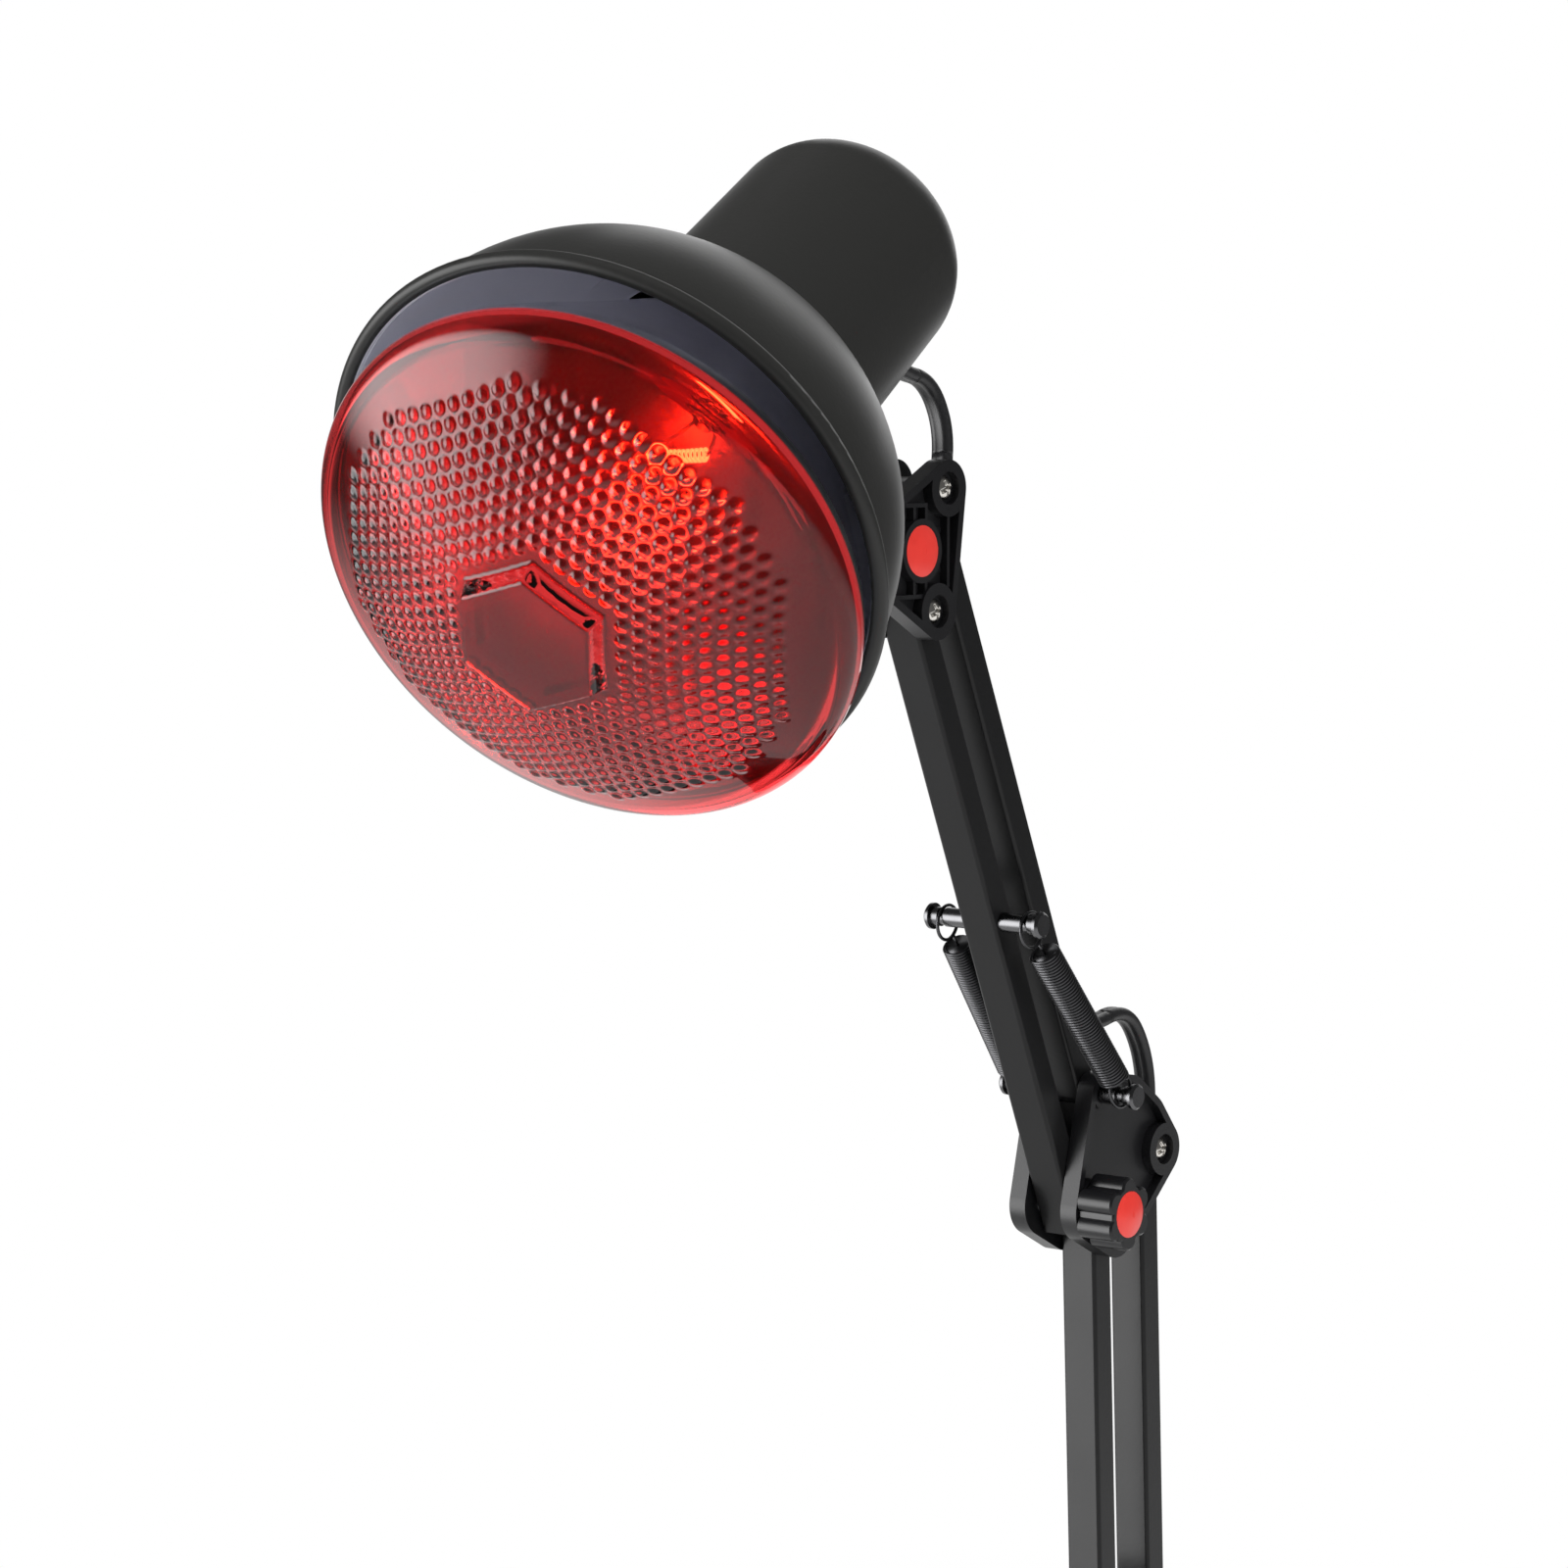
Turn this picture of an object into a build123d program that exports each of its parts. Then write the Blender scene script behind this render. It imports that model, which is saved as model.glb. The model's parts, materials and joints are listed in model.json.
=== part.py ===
"""Swing-arm infrared heat lamp: red reflector bulb in a spun shade, on a two-section parallelogram arm with
springs, over a weighted round base. Millimetres, +Z up, front -Y, every arm pivot along X. The origin is
the centre of the base's underside, on the swivel axis."""
import os
from math import cos, radians, sin, sqrt, tan

from build123d import *

# ---- clearances -------------------------------------------------------------------------------------------
RUN = 0.05          # running fit, on the radius
GAP = 0.3           # between pieces that pass each other
SEAT = 0.02         # between flat faces that turn on each other

# ---- arm --------------------------------------------------------------------------------------------------
LOWER_LEN, LOWER_LEAN = 178.0, 2.5      # pivot to pivot; degrees forward of upright
UPPER_LEN, UPPER_LEAN = 160.1, 23.54
LOWER_LINK = (20.3, 15.9)               # rear pivot from front pivot (Y, Z) of the lower parallelogram
UPPER_LINK = (3.8, 27.9)                # the same for the upper one
ELBOW_STEP = (-10.0, 5.2)               # upper front pivot from lower front pivot, at the elbow
BASE_PIVOT = (-9.5, 60.5)               # lower front pivot at the base
BAR_W, BAR_D, BAR_T = 9.8, 6.6, 1.0     # channel: width on X, depth, wall
BAR_R = 0.9                             # rounding of its front edges
PIN_R = 2.0                             # pivot pins and screws
SPRING_AT = 79.0                        # cross pin, up each front bar from its lower pivot
SPRING_TOP_X, SPRING_FOOT_X = 12.1, 15.3    # spring hooks from the middle plane: on a bar, on a bracket
SPRING_R, SPRING_WIRE, HOOK_R = 3.85, 0.4, 4.2      # body outside, wire, hook's ring to its wire's middle
BODY_FROM_TOP, BODY_FROM_FOOT = 9.3, 5.6            # coiled body from the pin at each end
SPRING_PIN_R, SPRING_GROOVE_R, GROOVE_HALF = 2.3, 1.9, 0.9
SPRING_HEAD_R, SPRING_HEAD_T, HEAD_FROM_HOOK = 3.15, 1.4, 3.0

# ---- moulded bracket halves -------------------------------------------------------------------------------
SLOT = BAR_W / 2 + GAP                  # inner face of a half, from the middle plane
PANEL, RIM_H, RIM_W = 2.0, 4.6, 1.9     # web thickness, overall depth, rim width
OUT = SLOT + RIM_H                      # outer face of the rims
LUG_R = 6.5                             # round a pivot screw
HEAD_BOLT = (-6.27, 13.9)               # tilt bolt from the upper front pivot of the head (Y, Z)
CAP_R, CAP_BOSS_R, CAP_H = 5.85, 7.3, 0.9
RIB_AT, SHELF_AT, RIB_T, RIB_H = 2.2, 10.3, 0.95, 2.0    # head bracket's ribs, from the tilt bolt
BOLT_R, NUT_R, NUT_H = 2.5, 4.4, 2.0
SCREW_HEAD_R, SCREW_HEAD_H, RECESS_R, SCREW_SINK = 2.9, 1.5, 3.75, 0.3

# ---- knob -------------------------------------------------------------------------------------------------
KNOB_LOBES, KNOB_CORE_R, KNOB_LOBE_R, KNOB_LOBE_AT, KNOB_LEN = 6, 7.0, 2.9, 6.0, 9.7
KNOB_GAP, KNOB_CAP_R = 0.5, 5.6

# ---- tilt hub and swivel ----------------------------------------------------------------------------------
TONGUE_HALF, TONGUE_W, TONGUE_R = 4.5, 9.0, 7.2     # half thickness on X, width, eye radius
HUB_R, HUB_FROM = 8.0, 24.0                         # round hub, its start from the tilt bolt
NECK_RISE = 64.3                                    # neck axis above the tilt bolt, square to the neck
SHADE_DIP = 30.23                                   # shade axis below level, degrees
SHADE_TURN = 7.9                                    # shade turned on its swivel, degrees
STUD_R, STUD_HEAD_R = 3.0, 5.5
SADDLE_T, SADDLE_R, SADDLE_CORE_R = 1.6, 9.0, 6.4

# ---- bulb, PAR38 size, along the shade axis (forward is negative) -----------------------------------------
BULB_R, RIM_AT, DOME_H, GLASS = 60.3, -14.5, 25.5, 2.6
HEX_R, HEX_H, HEX_CLOCK = 18.0, 2.0, -9.8
LEAN, LEAN_CLOCK = 1.7, 54.0                        # the bulb sits this crooked in its holder
CAP_THREAD_R, NIPPLE_R, HOLDER_R = 13.2, 5.0, 20.5
# mirrored body behind the seam: share of the way to the neck's start, share of the way from cap to rim
MIRROR_KNOTS = [(0.037, 0.872), (0.33, 0.661), (0.70, 0.406), (1.026, 0.174), (1.21, 0.046)]

# ---- shade round the bulb, along its own axis from the opening --------------------------------------------
SHELL_R, SHELL_C, SHELL_T = BULB_R + 0.8, 0.8, 1.2  # bowl: outside radius, its centre, wall
BEAD_R, BEAD_OUT = 1.8, 1.3                         # rolled lip, its middle from the wall's middle
NECK_R0, NECK_R1, NECK_ROUND, NECK_T = 29.0, 27.7, 14.5, 1.2
BOWL_TOP = SHELL_C + sqrt(SHELL_R**2 - NECK_R0**2)  # where the bowl meets the neck
CAP_FROM = BOWL_TOP + 15.4                          # bulb's cap, then the holder round it, then the end wall
CAP_TO = CAP_FROM + 24.0
HOLDER_FROM, HOLDER_TO = CAP_FROM - 6.0, CAP_TO + 18.0
STEM_TO = CAP_FROM - 4.67927                        # the stem's foot, in the bulb's throat
STEM_R, STEM_TIP_R, STEM_LEN, STEM_FOOT, COIL_DROP = 6.5, 3.4, 17.3, 3.3, 14.0
NECK_END = HOLDER_TO + 17.4
STUD_BACK = BOWL_TOP + 39.9                         # shade opening to the swivel stud, along the neck
GLAND_AROUND, GLAND_R, GLAND_OUT = 20.0, 4.2, 1.6   # cord gland in the rounded corner under the neck

# ---- base -------------------------------------------------------------------------------------------------
BASE_R, PAD_T, BASE_TOP, COVER_T, BASE_EDGE_R = 95.0, 3.0, 24.0, 2.5, 9.0
WEIGHT_T = 13.0
POST_R, POST_BORE, POST_FLANGE_R, POST_TOP = 6.0, 3.6, 18.0, 44.0
COLLAR_R, COLLAR_H = 16.0, 3.0
HUB2_R, HUB2_TOP, TONGUE2_TOP = 12.5, 46.0, 54.0

# ---- cord -------------------------------------------------------------------------------------------------
CORD_R = 2.25
TABLE = CORD_R + 0.05                               # height of a cord that lies on the table
EXIT_Z = 10.0                                       # height of the cord's way out of the base
BOOT_LEN, BOOT_R0, BOOT_R1, BOOT_NECK_R = 24.0, 5.4, 3.4, 3.75
TURN_SHARE = 0.45                                   # a turn's tangent, as a share of its shorter side

# ---- switch, coil and plug, behind the base ---------------------------------------------------------------
SWITCH_AT, SWITCH_SIZE, SWITCH_Z = (-52.0, 250.0), (26.0, 62.0, 17.0), 8.0
COIL_AT, COIL_R, COIL_BAND, COIL_H = (36.0, 190.0), 30.0, 9.0, 14.0
ROCK = 7.0                                          # the rocker's rest, degrees from level
PLUG_AT, PLUG_SIZE, PLUG_Z = (24.0, 262.0), (24.0, 30.0, 14.0), 7.2
BLADE_W, BLADE_T, BLADE_LEN, BLADE_PITCH = 6.35, 1.5, 17.0, 12.7


def yz(pair):
    return Vector(0, pair[0], pair[1])


def lean(deg):
    """Unit vector up a bar that leans forward by deg."""
    return Vector(0, -sin(radians(deg)), cos(radians(deg)))


def rear(deg):
    """Unit vector square to that bar, to the rear."""
    return Vector(0, cos(radians(deg)), sin(radians(deg)))


# ---- pivots -----------------------------------------------------------------------------------------------
base_front = yz(BASE_PIVOT)
base_rear = base_front + yz(LOWER_LINK)
elbow_low_front = base_front + lean(LOWER_LEAN) * LOWER_LEN
elbow_low_rear = elbow_low_front + yz(LOWER_LINK)
elbow_up_front = elbow_low_front + yz(ELBOW_STEP)
elbow_up_rear = elbow_up_front + yz(UPPER_LINK)
head_front = elbow_up_front + lean(UPPER_LEAN) * UPPER_LEN
head_rear = head_front + yz(UPPER_LINK)
tilt = head_front + yz(HEAD_BOLT)
lower_pin = base_front + lean(LOWER_LEAN) * SPRING_AT
upper_pin = elbow_up_front + lean(UPPER_LEAN) * SPRING_AT

# swivel stud: through the tilt bolt, square to the neck
stud_up = Vector(0, -sin(radians(SHADE_DIP)), cos(radians(SHADE_DIP)))
neck_dir = Vector(0, cos(radians(SHADE_DIP)), sin(radians(SHADE_DIP)))
stud_axis = Axis(tilt, stud_up)
shade_at = tilt + stud_up * NECK_RISE - neck_dir * STUD_BACK
shade_frame = Plane(origin=shade_at, x_dir=(1, 0, 0), z_dir=neck_dir)
stud_frame = Plane(origin=tilt, x_dir=(1, 0, 0), z_dir=stud_up)


# ---- small tools ------------------------------------------------------------------------------------------
def x_rod(c, r, x0, x1):
    return extrude(Plane.YZ.offset(x0) * Pos(c.Y, c.Z) * Circle(r), x1 - x0)


def x_slab(sketch, x0, x1):
    return extrude(Plane.YZ.offset(x0) * sketch, x1 - x0)


def hull(circles):
    return make_hull([e for c, r in circles for e in (Pos(c.Y, c.Z) * Circle(r)).edges()])


def both(near):
    return near + mirror(near, Plane.YZ)


def turned(points, axis_plane=Plane.XZ):
    """Solid of revolution about Z from (radius, height) points."""
    face = make_face(Polyline(*[(r, z) for r, z in points], close=True))
    return revolve(axis_plane * face, Axis.Z)


def in_shade(part):
    return (shade_frame.location * part).rotate(stud_axis, SHADE_TURN)


def in_bulb(part):
    """Parts that share the bulb's slightly crooked seat."""
    c = radians(LEAN_CLOCK)
    seat = Axis((0, 0, CAP_TO), (sin(c), -cos(c), 0))
    return in_shade(part.rotate(seat, LEAN))


# ---- arm bars ---------------------------------------------------------------------------------------------
def channel(foot, deg, length, foot_ext=0.0, head_ext=1.5, square_foot=False, foot_hole=PIN_R):
    """Channel bar, open to the rear, with ends rounded on its own depth and a pivot hole near each."""
    half = BAR_D / 2
    front = Pos(0, 0) * Rectangle(BAR_W, BAR_D)
    front = fillet(front.vertices().sort_by(Axis.Y)[:2], BAR_R)
    section = front - Pos(0, BAR_T) * Rectangle(BAR_W - 2 * BAR_T, BAR_D)
    bar = extrude(Plane.XY.offset(-foot_ext - half - 1) * section, length + foot_ext + head_ext + 2 * half + 2)
    low, high = Vector(0, 0, -foot_ext), Vector(0, 0, length + head_ext)
    side = hull([(low, half), (high, half)])
    if square_foot:
        heel = Polyline((-half, 0), (-half, -foot_ext - half), (0, -foot_ext - half), (half, 0), close=True)
        side = side + make_face(heel)
    bar = bar & x_slab(side, -BAR_W, BAR_W)
    for hole, z in ((foot_hole, 0), (PIN_R, length)):
        bar -= x_rod(Vector(0, 0, z), hole + RUN, -BAR_W, BAR_W)
    return Plane(origin=foot, x_dir=(1, 0, 0), z_dir=lean(deg)).location * bar


def front_bar(foot, deg, length, **ends):
    bar = channel(foot, deg, length, **ends)
    return bar - x_rod(foot + lean(deg) * SPRING_AT, SPRING_PIN_R, -BAR_W, BAR_W)


def spring_pin(c, shaft_r, hook_x, shoulder_from=0.0):
    """Cross pin with a groove for a spring hook and a chamfered head at each end; a shoulder by a bracket."""
    head_x = hook_x + HEAD_FROM_HOOK
    head = x_rod(c, SPRING_HEAD_R, head_x, head_x + SPRING_HEAD_T)
    half = chamfer(head.edges().sort_by(Axis.X)[-1], 0.6) + x_rod(c, SPRING_GROOVE_R, 0, head_x + 0.1)
    half += x_rod(c, SPRING_PIN_R, hook_x + GROOVE_HALF, head_x + 0.1)
    half += x_rod(c, shaft_r, 0, hook_x - GROOVE_HALF)
    if shoulder_from:
        half += x_rod(c, SPRING_PIN_R + 0.3, shoulder_from, hook_x - GROOVE_HALF)
    return both(half)


def spring(top, foot, side):
    """Close-wound body as a tube with closed ends, and a round hook over the pin at each end."""
    start_at = top + Vector(side * SPRING_TOP_X, 0, 0)
    end_at = foot + Vector(side * SPRING_FOOT_X, 0, 0)
    span, along = (end_at - start_at).length, (end_at - start_at).normalized()
    sit = HOOK_R - SPRING_WIRE - SPRING_GROOVE_R - RUN      # the pin sits at the far side of each ring
    start, end = BODY_FROM_TOP, span - BODY_FROM_FOOT
    body = extrude(Plane.XY.offset(start) * Circle(SPRING_R), end - start)
    body -= extrude(Plane.XY.offset(start + 2 * SPRING_WIRE) * Circle(SPRING_R - 2 * SPRING_WIRE),
                    end - start - 4 * SPRING_WIRE)
    body += extrude(Plane.XY.offset(sit + HOOK_R) * Circle(SPRING_WIRE), start + SPRING_WIRE - sit - HOOK_R)
    for ring_z in (sit, span - sit):
        body += Pos(0, 0, ring_z) * Torus(HOOK_R, SPRING_WIRE).rotate(Axis.Y, 90)
    return Plane(origin=start_at, x_dir=(1, 0, 0), z_dir=along).location * body


# ---- bracket halves ---------------------------------------------------------------------------------------
def half_shell(circles, lugs, holes):
    """Near half: web, rim round its outline, a recessed lug at each screw, plain holes elsewhere."""
    outline = hull(circles)
    inner = hull([(c, r - RIM_W) for c, r in circles])
    half = x_slab(outline, SLOT, SLOT + PANEL) + x_slab(outline - inner, SLOT, OUT)
    for c in lugs:
        half += x_rod(c, LUG_R, SLOT, OUT)
    for c in lugs:
        half -= x_rod(c, RECESS_R, OUT - SCREW_HEAD_H - SCREW_SINK, OUT + 1)
        half -= x_rod(c, PIN_R, 0, OUT + 1)
    for c, r in holes:
        half -= x_rod(c, r, 0, OUT + 1)
    return half


head_circles = [(head_rear, LUG_R), (head_front, LUG_R), (tilt + yz((-12.0, 6.5)), 3.0),
                (tilt + yz((-13.0, -6.0)), 4.0)]
elbow_circles = [(elbow_up_rear, 5.0), (elbow_low_rear + yz((-15.4, 11.8)), 8.5),
                 (elbow_low_rear + yz((-7.7, 5.9)), 8.7), (elbow_low_rear, LUG_R), (elbow_up_front, 8.0),
                 (elbow_low_front, 8.0)]
base_screws = [yz((-8.0, HUB2_TOP + 5.6)), yz((10.0, HUB2_TOP + 5.6))]
base_circles = [(base_front, 7.5), (base_rear, 7.5)] + [(c, 5.5) for c in base_screws]


def head_half(near):
    half = half_shell(head_circles, [head_rear, head_front], [])
    inside = x_slab(hull(head_circles), SLOT, OUT)
    if near:
        rib_x = SLOT + PANEL + RIB_H / 2
        half += x_rod(tilt, CAP_BOSS_R, SLOT, OUT)
        wall = Pos(rib_x, tilt.Y + 10.6, tilt.Z) * Box(RIB_H, RIB_T, 17)
        half += wall & inside
        for side in (-1, 1):        # shelf above and below the cap, two ribs between it and the boss
            shelf = Pos(rib_x, tilt.Y + RIB_AT - 12, tilt.Z + side * SHELF_AT) * Box(RIB_H, 24 + RIB_T, RIB_T)
            half += shelf & inside
            for y in (-RIB_AT, RIB_AT):
                half += Pos(rib_x, tilt.Y + y, tilt.Z + side * SHELF_AT / 2) * Box(RIB_H, RIB_T, SHELF_AT)
        for k in range(4):          # plain raised ribs beside the cap
            half += Pos(SLOT + PANEL + 0.2, tilt.Y + 8.7, tilt.Z - 4.5 + 3 * k) * Box(0.5, 2.0, 1.2)
        half -= x_rod(tilt, CAP_R + 0.05, OUT - 1.6, OUT + 1)
        half -= x_rod(tilt, NUT_R + 0.2, OUT - 1.6 - NUT_H, OUT)
    else:
        half += x_rod(tilt, CAP_BOSS_R, SLOT, OUT)
        half -= x_rod(tilt, NUT_R, OUT - NUT_H, OUT + 1)
    half -= x_rod(tilt, BOLT_R, 0, OUT + 1)
    for c in (head_rear, head_front):
        half -= x_rod(c, PIN_R, 0, OUT)
    return half if near else mirror(half, Plane.YZ)


def elbow_half(near):
    half = half_shell(elbow_circles, [elbow_low_rear], [])
    half += x_rod(elbow_up_rear, 4.0, SLOT, OUT - 0.2)
    half += x_rod(elbow_up_front, CAP_BOSS_R, SLOT, OUT)
    half += x_rod(elbow_low_front, 5.0, SLOT, SLOT + PANEL + 0.8)
    half -= x_rod(elbow_up_rear, PIN_R, 0, OUT + 1)
    half -= x_rod(elbow_low_front, PIN_R, 0, OUT + 1)
    half -= x_rod(elbow_low_front, SCREW_HEAD_R + 0.4, SLOT + PANEL, OUT + 1)
    half -= x_rod(elbow_up_front, BOLT_R, 0, OUT + 1)
    if not near:
        half -= x_rod(elbow_up_front, NUT_R, OUT - NUT_H, OUT + 1)
    return half if near else mirror(half, Plane.YZ)


def base_half(near):
    half = half_shell(base_circles, [], [(c, PIN_R) for c in base_screws])
    half += x_rod(base_rear, 5.0, SLOT, OUT - 0.2)
    half -= x_rod(base_rear, PIN_R, 0, OUT + 1)
    half -= x_rod(base_front, PIN_R, 0, OUT + 1)
    return half if near else mirror(half, Plane.YZ)


def nut(c, x0, x1, r=NUT_R, bore=BOLT_R):
    hexagon = RegularPolygon(r, 6, major_radius=True)
    return extrude(Plane.YZ.offset(x0) * Pos(c.Y, c.Z) * hexagon, x1 - x0) - x_rod(c, bore, x0 - 1, x1 + 1)


def dome(c, r, x0, h, side=1):
    """Low domed head, its flat face at x0 on the given side."""
    ball = (r * r + h * h) / (2 * h)
    face = make_face([Line((0, 0), (r, 0)), RadiusArc((r, 0), (0, h), -ball), Line((0, h), (0, 0))])
    head = revolve(Plane.XZ * face, Axis.Z)
    return Plane(origin=(side * x0, c.Y, c.Z), z_dir=(side, 0, 0)).location * head


def pivot_screw(c):
    """Domed screw through both halves, with its nut in the far lug."""
    seat = OUT - SCREW_HEAD_H - SCREW_SINK
    return (x_rod(c, PIN_R, -OUT + 0.3, seat + 0.1) + dome(c, SCREW_HEAD_R, seat, SCREW_HEAD_H)
            + nut(c, -OUT + 0.5, -seat, RECESS_R - 0.4, PIN_R - 0.1))


def rivet(c, seat):
    return x_rod(c, PIN_R, -seat, seat) + dome(c, SCREW_HEAD_R, seat, 1.1) + dome(c, SCREW_HEAD_R, seat, 1.1, -1)


def knob():
    """Moulded star knob, hollow behind the red cap, on the elbow bolt."""
    base = OUT + KNOB_GAP
    lobes = Circle(KNOB_CORE_R)
    for k in range(KNOB_LOBES):
        a = radians(30 + k * 360 / KNOB_LOBES)
        lobes += Pos(KNOB_LOBE_AT * cos(a), KNOB_LOBE_AT * sin(a)) * Circle(KNOB_LOBE_R)
    body = x_slab(Pos(elbow_up_front.Y, elbow_up_front.Z) * lobes, base, base + KNOB_LEN)
    body = chamfer(body.faces().sort_by(Axis.X)[-1].edges(), 0.5)
    body -= x_rod(elbow_up_front, KNOB_CAP_R + 0.05, base + KNOB_LEN - 1.6, base + KNOB_LEN + 1)
    return body - x_rod(elbow_up_front, BOLT_R + RUN, base - 1, base + KNOB_LEN)


def red_cap(c, r, face):
    """Press-in cap whose dome stands just proud of its seat at face."""
    return x_rod(c, r, face - 1.6, face) + dome(c, r, face, CAP_H)


# ---- tilt hub ---------------------------------------------------------------------------------------------
def tilt_hub():
    """Tongue on the tilt bolt that widens into a round hub, its top square to the swivel stud."""
    top = hub_top()
    tongue = x_rod(tilt, TONGUE_R, -TONGUE_HALF, TONGUE_HALF)
    strip = extrude(Rectangle(2 * TONGUE_HALF, TONGUE_W), HUB_FROM + 2)
    barrel = extrude(Plane.XY.offset(HUB_FROM) * Circle(HUB_R), top - HUB_FROM)
    barrel = chamfer(barrel.edges().sort_by(Axis.Z)[0], 1.2)
    hub = tongue + stud_frame.location * (strip + barrel)
    hub -= x_rod(tilt, BOLT_R + RUN, -OUT, OUT)
    bore = stud_frame.location * extrude(Plane.XY.offset(top - 10) * Circle(STUD_R), 12)
    return hub - bore


def neck_radius(s):
    return NECK_R0 + (NECK_R1 - NECK_R0) * (s - BOWL_TOP) / (NECK_END - BOWL_TOP)


def hub_top():
    """Height of the hub over the tilt bolt: it stops one flange below the neck."""
    return NECK_RISE - neck_radius(STUD_BACK) - SADDLE_T


def saddle():
    """Seat for the swivel: a flange that fits the neck outside, and a core through its wall."""
    up = extrude(Plane.XY.offset(hub_top() + SEAT) * Circle(SADDLE_R), 8)
    core = extrude(Plane.XY.offset(hub_top() + SEAT) * Circle(SADDLE_CORE_R), SADDLE_T + NECK_T + 1.9)
    seat = stud_frame.location * up - shade_frame.location * neck_solid(0)
    seat = seat.solids().sort_by_distance(tilt)[0] + stud_frame.location * core
    hole = stud_frame.location * extrude(Circle(STUD_R + RUN), NECK_RISE)
    return (seat - hole).rotate(stud_axis, SHADE_TURN)


def stud():
    """Shoulder stud fixed in the hub; its head holds the saddle from inside the neck."""
    top = hub_top()
    seat = top + SEAT + SADDLE_T + NECK_T + 1.9 + SEAT
    shank = extrude(Plane.XY.offset(top - 10) * Circle(STUD_R), seat - top + 10)
    head = extrude(Plane.XY.offset(seat) * Circle(STUD_HEAD_R), 2.2)
    return stud_frame.location * (shank + head)


# ---- shade and neck ---------------------------------------------------------------------------------------
def neck_solid(wall):
    """Neck as a filled body, drawn in by wall on every side."""
    r0, r1, end, rnd = neck_radius(40) - wall, NECK_R1 - wall, NECK_END - wall, NECK_ROUND - wall
    outline = [Line((0, 40), (r0, 40)), Line((r0, 40), (r1, end - rnd)),
               RadiusArc((r1, end - rnd), (r1 - rnd, end), -rnd), Line((r1 - rnd, end), (0, end)),
               Line((0, end), (0, 40))]
    return revolve(Plane.XZ * make_face(outline), Axis.Z)


def flange_ring(r0, r1, inner, outer):
    """Ring of a spherical skin about the bowl's centre, behind the opening."""
    skin = Sphere(outer) - Sphere(inner)
    ring = extrude(Plane.XY.offset(20) * (Circle(r1) - Circle(r0)), 60)
    return Pos(0, 0, SHELL_C) * (skin & ring)


def shade_shell():
    ball = Pos(0, 0, SHELL_C) * (Sphere(SHELL_R) - Sphere(SHELL_R - SHELL_T))
    keep = extrude(Circle(SHELL_R + 5), SHELL_R + 5)
    shell = ball & keep
    shell -= extrude(Circle(neck_radius(BOWL_TOP) + 0.05), 100)
    shell += Torus(SHELL_R - SHELL_T / 2 + BEAD_OUT, BEAD_R)
    return in_shade(shell)


def gland_axis():
    """Start and direction of the cord's way out, in the rounded corner under the neck."""
    a = radians(GLAND_AROUND)
    s = NECK_END - NECK_ROUND + NECK_ROUND * sin(a)
    r = NECK_R1 - NECK_ROUND + NECK_ROUND * cos(a)
    return Vector(0, r, s), Vector(0, cos(a), sin(a))


def gland_rod(r, start, length):
    at, way = gland_axis()
    return extrude(Plane(origin=at + way * start, z_dir=way) * Circle(r), length)


def neck_cup():
    cup = neck_solid(0) - neck_solid(NECK_T)
    cup -= extrude(Plane.XY.offset(30) * Circle(60), BOWL_TOP - 2.5 - 30)
    cup += flange_ring(NECK_R0 - 2, NECK_R0 + 6, SHELL_R - 2 * SHELL_T, SHELL_R - SHELL_T)
    cup -= extrude(Plane.XY.offset(30) * Circle(neck_radius(40) - NECK_T), 40)
    cup -= gland_rod(GLAND_R - 1.0, -6, 12)
    cup -= extrude(Plane.XY.offset(NECK_END - 5) * Circle(NIPPLE_R - 2.4), 10)
    cup = in_shade(cup)
    core = stud_frame.location * extrude(Circle(SADDLE_CORE_R), NECK_RISE)
    return cup - core.rotate(stud_axis, SHADE_TURN)


def gland():
    body = gland_rod(GLAND_R, 0.1, GLAND_OUT) + gland_rod(GLAND_R - 1.0, -NECK_T - 0.6, NECK_T + 1)
    return in_shade(body - gland_rod(CORD_R, -8, 20))


# ---- bulb and holder --------------------------------------------------------------------------------------
def lens():
    """Pressed glass front: rim, dome and the raised hexagon at its middle."""
    ball = (BULB_R**2 + DOME_H**2) / (2 * DOME_H)
    centre = RIM_AT - DOME_H + ball
    dome_out = Pos(0, 0, centre) * Sphere(ball) & extrude(Plane.XY.offset(RIM_AT) * Circle(BULB_R), -60)
    rim = extrude(Plane.XY.offset(RIM_AT) * Circle(BULB_R), 3.2)
    boss = extrude(Plane.XY.offset(RIM_AT - DOME_H - HEX_H) * RegularPolygon(HEX_R, 6, rotation=HEX_CLOCK), 8)
    boss = chamfer(boss.faces().sort_by(Axis.Z)[0].edges(), 1.2)
    glass = fillet((dome_out + rim).edges().sort_by(Axis.Z)[-1], 0.9) + boss
    inside = Pos(0, 0, centre + 0.2) * Sphere(ball - GLASS)
    inside &= extrude(Plane.XY.offset(RIM_AT + 3.3) * Circle(BULB_R - GLASS), -60)
    return in_bulb(glass - inside)


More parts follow.
